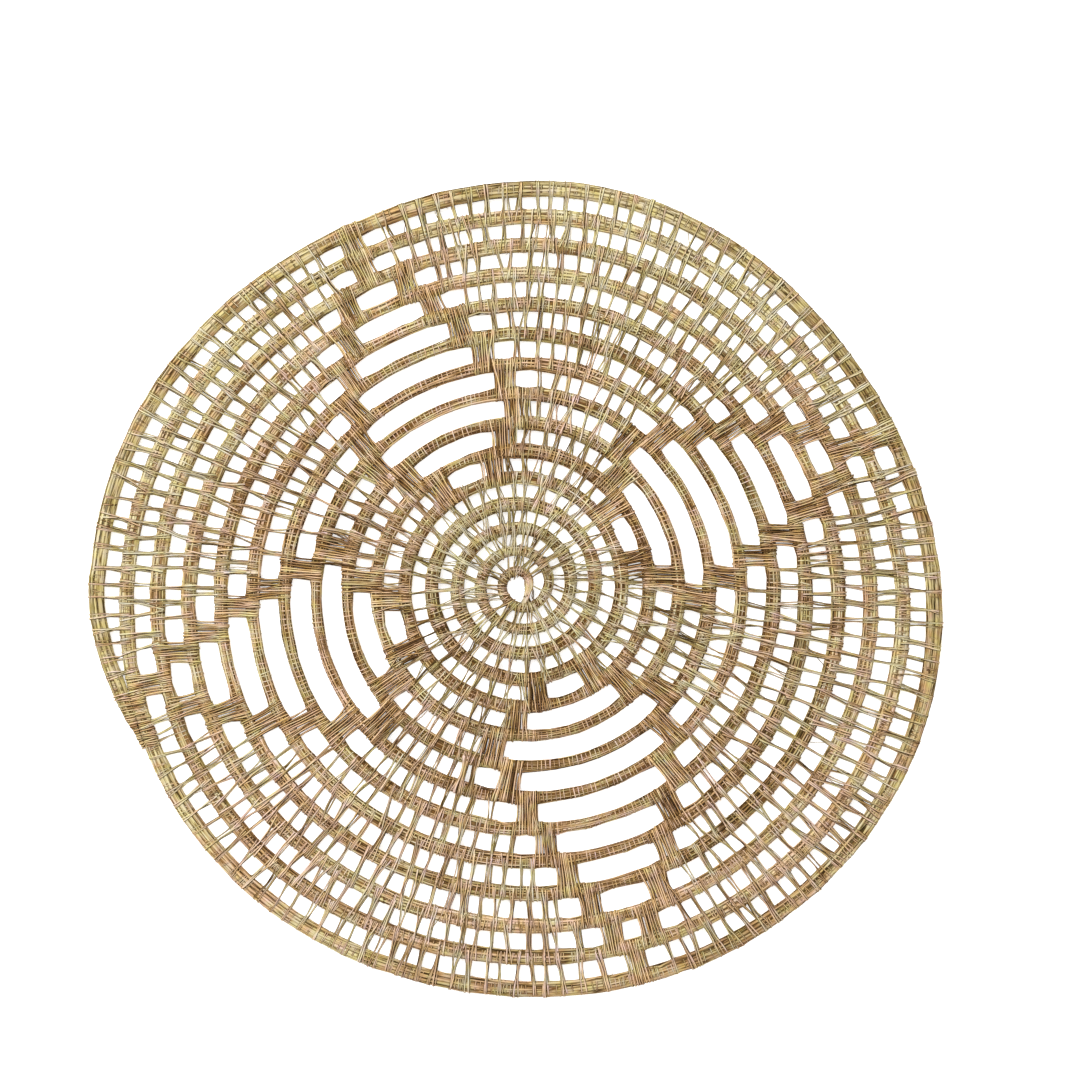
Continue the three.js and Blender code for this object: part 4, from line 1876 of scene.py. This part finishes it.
@dataclass
class Fibres:
    """Thin strands that have come away: some slant across the gaps, others stick out as tufts.

    Heights are above the coil's centre line. Slanting past is how far the slanting ones run on
    past the middles of their two coils, and tuft ends are the turns without tufts at the coil's
    start and end. Other pairs are the least and the most, and the tone pair a mean and a
    deviation.
    """

    body: CoilBody
    plan: StitchPlan
    centre: np.ndarray
    slanting: int = 46
    slanting_from: float = 1.5
    slanting_stations: int = 7
    slanting_past: tuple[float, float] = (1.0, 1.5)
    slanting_run: float = 4.5
    slanting_bow: float = 1.0
    slanting_height: float = 1.75
    slanting_fall: float = 1.1
    slanting_width: float = 0.34
    tufts: int = 230
    tuft_stations: int = 5
    tuft_ends: tuple[float, float] = (1.0, 0.1)
    tuft_outer: float = 0.35
    tuft_out: tuple[float, float] = (0.3, 1.3)
    tuft_outer_share: float = 0.6
    tuft_root: float = 0.6
    tuft_more: float = 0.5
    tuft_curve: float = 1.5
    tuft_run: tuple[float, float] = (1.5, 4.5)
    tuft_height: tuple[float, float] = (-0.6, 1.1)
    tuft_width: float = 0.3
    uneven: tuple[float, float] = (0.8, 1.3)
    tapering: float = 0.6
    thick_share: float = 0.7
    tone: tuple[float, float] = (0.5, 0.2)
    seed: int = 61

    def make(self) -> bpy.types.Object:
        """Both kinds of strand, as one piece of tapering strips.

        Returns:
            The piece.
        """
        rng = np.random.default_rng(self.seed)
        groups = [self._slanting(rng), self._tufts(rng)]
        return join_strips("loose_fibres", groups, self.centre, self.seed + 1)

    def _slanting(self, rng: np.random.Generator) -> Strips:
        """Strands from one coil to the next at a steep lean, bowed by half a sine wave.

        Args:
            rng: the source of the random places and leans.

        Returns:
            The strips.
        """
        rungs, size = self.plan.rungs, (self.slanting, 1)
        turn = rng.choice(rungs[rungs > self.slanting_from], self.slanting, replace=False)
        share = np.linspace(0, 1, self.slanting_stations)[None, :]
        inner, outer = (self.body.path.radius(turn + out)[:, None] for out in (0, 1))
        reach = blend(inner - self.slanting_past[0], outer + self.slanting_past[1], share)
        arc = np.sin(share * math.pi)
        aside = (share - 0.5) * rng.normal(0, self.slanting_run, size)
        aside = aside + rng.normal(0, self.slanting_bow, size) * arc
        height = self.body.centre + self.slanting_height - self.slanting_fall * arc**2
        angle = TAU * turn[:, None] + aside / reach
        return self._strips(rng, reach, angle, height, self.slanting_width)

    def _tufts(self, rng: np.random.Generator) -> Strips:
        """Short ends that leave a side of the coil at a low angle, and curve away from it.

        Args:
            rng: the source of the random places, lengths and heights.

        Returns:
            The strips.
        """
        size = (self.tufts, 1)
        low = self.plan.path.first_turn + self.tuft_ends[0]
        high = self.plan.path.last_turn - self.tuft_ends[1]
        length = rng.uniform(self.body.length_at(low), self.body.length_at(high), self.tufts)
        turn = self.body.turn_at(length)
        outer = rng.uniform(size=self.tufts) < self.tuft_outer
        side = np.where(outer, 1.0, -1.0)
        share = np.linspace(0, 1, self.tuft_stations)[None, :]
        out = rng.uniform(*self.tuft_out, size)
        out = out * np.where(outer, self.tuft_outer_share, 1.0)[:, None] + self.tuft_more
        root = side * (self.body.side(turn, outer) - self.tuft_root)
        start = self.body.path.radius(turn) + root
        reach = start[:, None] + side[:, None] * out * share**self.tuft_curve
        run = rng.uniform(*self.tuft_run, size) * rng.choice([-1, 1], size)
        height = self.body.centre + rng.uniform(*self.tuft_height, size)
        angle = TAU * turn[:, None] + run * share / reach
        return self._strips(rng, reach, angle, height, self.tuft_width)

    def _strips(
        self,
        rng: np.random.Generator,
        reach: np.ndarray,
        angle: np.ndarray,
        height: np.ndarray,
        width: float,
    ) -> Strips:
        """Dresses lines of stations as thin strips that taper to their far end, by a cube.

        Args:
            rng: the source of the random widths, tones and greens.
            reach: distance of the stations from the eye.
            angle: their angle round it.
            height: their height.
            width: how wide the strips are, before each one's own part.

        Returns:
            The strips.
        """
        reach, angle, height = np.broadcast_arrays(reach, angle, height)
        count, stations = reach.shape
        taper = 1 - self.tapering * np.linspace(0, 1, stations)[None, :] ** 3
        size = width * rng.uniform(*self.uneven, (count, 1)) * taper
        return Strips(
            reach=reach,
            angle=angle,
            height=height,
            width=size,
            thick=size * self.thick_share,
            tone=rng.normal(*self.tone, (count, 1)),
            green=rng.uniform(0, 1, (count, 1)),
            closed=False,
            facing=np.zeros((count, stations, 3)) + UP,
        )


# The studio


@dataclass(frozen=True)
class Studio:
    """A plain pale floor, soft light, and a camera that looks straight down as in the photo."""

    frame_width: float = 0.4811
    look_at: tuple[float, float] = (0.0109, 0.0218)
    camera_height: float = 1.6
    sensor: float = 36.0
    floor_size: float = 6.0
    floor_level: float = -0.0002
    floor_colour: Colour = (0.92, 0.92, 0.915)
    floor_roughness: float = 0.9
    floor_specular: float = 0.1
    floor_glow: float = 0.55
    sky: float = 1.0
    key_power: float = 24.0
    key_place: tuple[float, float, float] = (-0.7, 0.8, 1.25)
    key_size: float = 0.7

    def floor(self) -> None:
        """A flat square of pale card, which also glows a little as it does in a light tent."""
        half = self.floor_size / 2
        ring = ((-half, -half), (half, -half), (half, half), (-half, half))
        mesh = bpy.data.meshes.new("floor")
        mesh.from_pydata([(x, y, self.floor_level) for x, y in ring], [], [(0, 1, 2, 3)])
        card = bpy.data.materials.new("pale_card")
        card.use_nodes = True
        shader = card.node_tree.nodes["Principled BSDF"]
        for name, value in (
            ("Base Color", (*self.floor_colour, 1)),
            ("Roughness", self.floor_roughness),
            ("Specular IOR Level", self.floor_specular),
            ("Emission Color", (1, 1, 1, 1)),
            ("Emission Strength", self.floor_glow),
        ):
            shader.inputs[name].default_value = value
        mesh.materials.append(card)
        floor = bpy.data.objects.new("floor", mesh)
        bpy.context.scene.collection.objects.link(floor)

    def lights(self) -> None:
        """An even white sky, and one soft lamp from the upper left of the picture."""
        scene = bpy.context.scene
        world = bpy.data.worlds.new("soft_sky")
        world.use_nodes = True
        sky = world.node_tree.nodes["Background"]
        sky.inputs["Color"].default_value = (1, 1, 1, 1)
        sky.inputs["Strength"].default_value = self.sky
        scene.world = world
        lamp = bpy.data.lights.new("soft_lamp", "AREA")
        lamp.energy = self.key_power
        lamp.shape = "DISK"
        lamp.size = self.key_size
        holder = bpy.data.objects.new("soft_lamp", lamp)
        x, y, z = self.key_place
        tilt, heading = math.atan2(math.hypot(x, y), z), math.atan2(y, x) + math.pi / 2
        holder.location = self.key_place
        holder.rotation_euler = (tilt, 0, heading)
        scene.collection.objects.link(holder)

    def camera(self) -> None:
        """A long lens straight above, whose square frame is as wide as the photo's."""
        data = bpy.data.cameras.new("overhead")
        data.sensor_width = self.sensor
        data.lens = self.sensor * self.camera_height / self.frame_width
        camera = bpy.data.objects.new("overhead", data)
        camera.location = (*self.look_at, self.camera_height)
        bpy.context.scene.collection.objects.link(camera)
        bpy.context.scene.camera = camera
        bpy.context.scene.view_settings.view_transform = "Standard"


def main() -> None:
    """Builds the studio and the mat, dresses each piece and reports it."""
    logging.basicConfig(level=logging.INFO, format="%(name)s: %(message)s")
    studio = Studio()
    studio.floor()
    studio.lights()
    studio.camera()

    path = CoilPath()
    low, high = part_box("mat")
    box_middle = np.array([low[0] + high[0], low[1] + high[1]]) / 2 / MM
    centre = box_middle - path.middle()
    plan = StitchPlan(path)
    body = CoilBody(path, plan)
    shade = LeafShade()
    bundle = Bundle(body, shade, centre)

    # the core's finish: dark pith tones that also paint the shade seen between the strips
    pith = PalmFinish("palm_pith_and_shade", tones=PITH_AND_SHADE_TONES, edge_wear_and_shade=0.0, specular=0.05)
    strip = PalmFinish("palm_strip")
    soft = PalmFinish("palm_soft", edge_wear_and_shade=0.2, grain_effect=0.36)
    # edge darkening on these finishes: edge wear and painted shade between strands
    stitch = PalmFinish("palm_stitch", patch_effect=0.22, edge_wear_and_shade=0.6)
    rung = replace(stitch, name="palm_rung", edge_wear_and_shade=0.9, one_sided=0.6)
    block = replace(stitch, name="palm_block", tones=BROWNER_TONES, edge_wear_and_shade=0.75)
    materials = {item: item.material() for item in (strip, soft, rung, stitch, block, pith)}

    core = bundle.core()
    dressed = [(core, pith)]
    dressed += zip(bundle.leaf(), (strip, soft))
    dressed.append((FirstStrands(body, shade, centre).make(), strip))
    dressed += [(piece, rung) for piece in Rungs(body, plan, shade, centre).make()]
    dressed.append((Blocks(body, plan, shade, centre).make(), block))
    dressed += zip(Wraps(body, plan, shade, centre).make(), (stitch, stitch, block))
    dressed.append((Fibres(body, plan, centre).make(), stitch))
    for piece, finish in dressed:
        piece.data.materials.append(materials[finish])
        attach(piece, "root")
        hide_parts("mat")
        LOG.info("%s: %d faces", piece.name, len(piece.data.polygons))


if __name__ == "__main__":
    main()
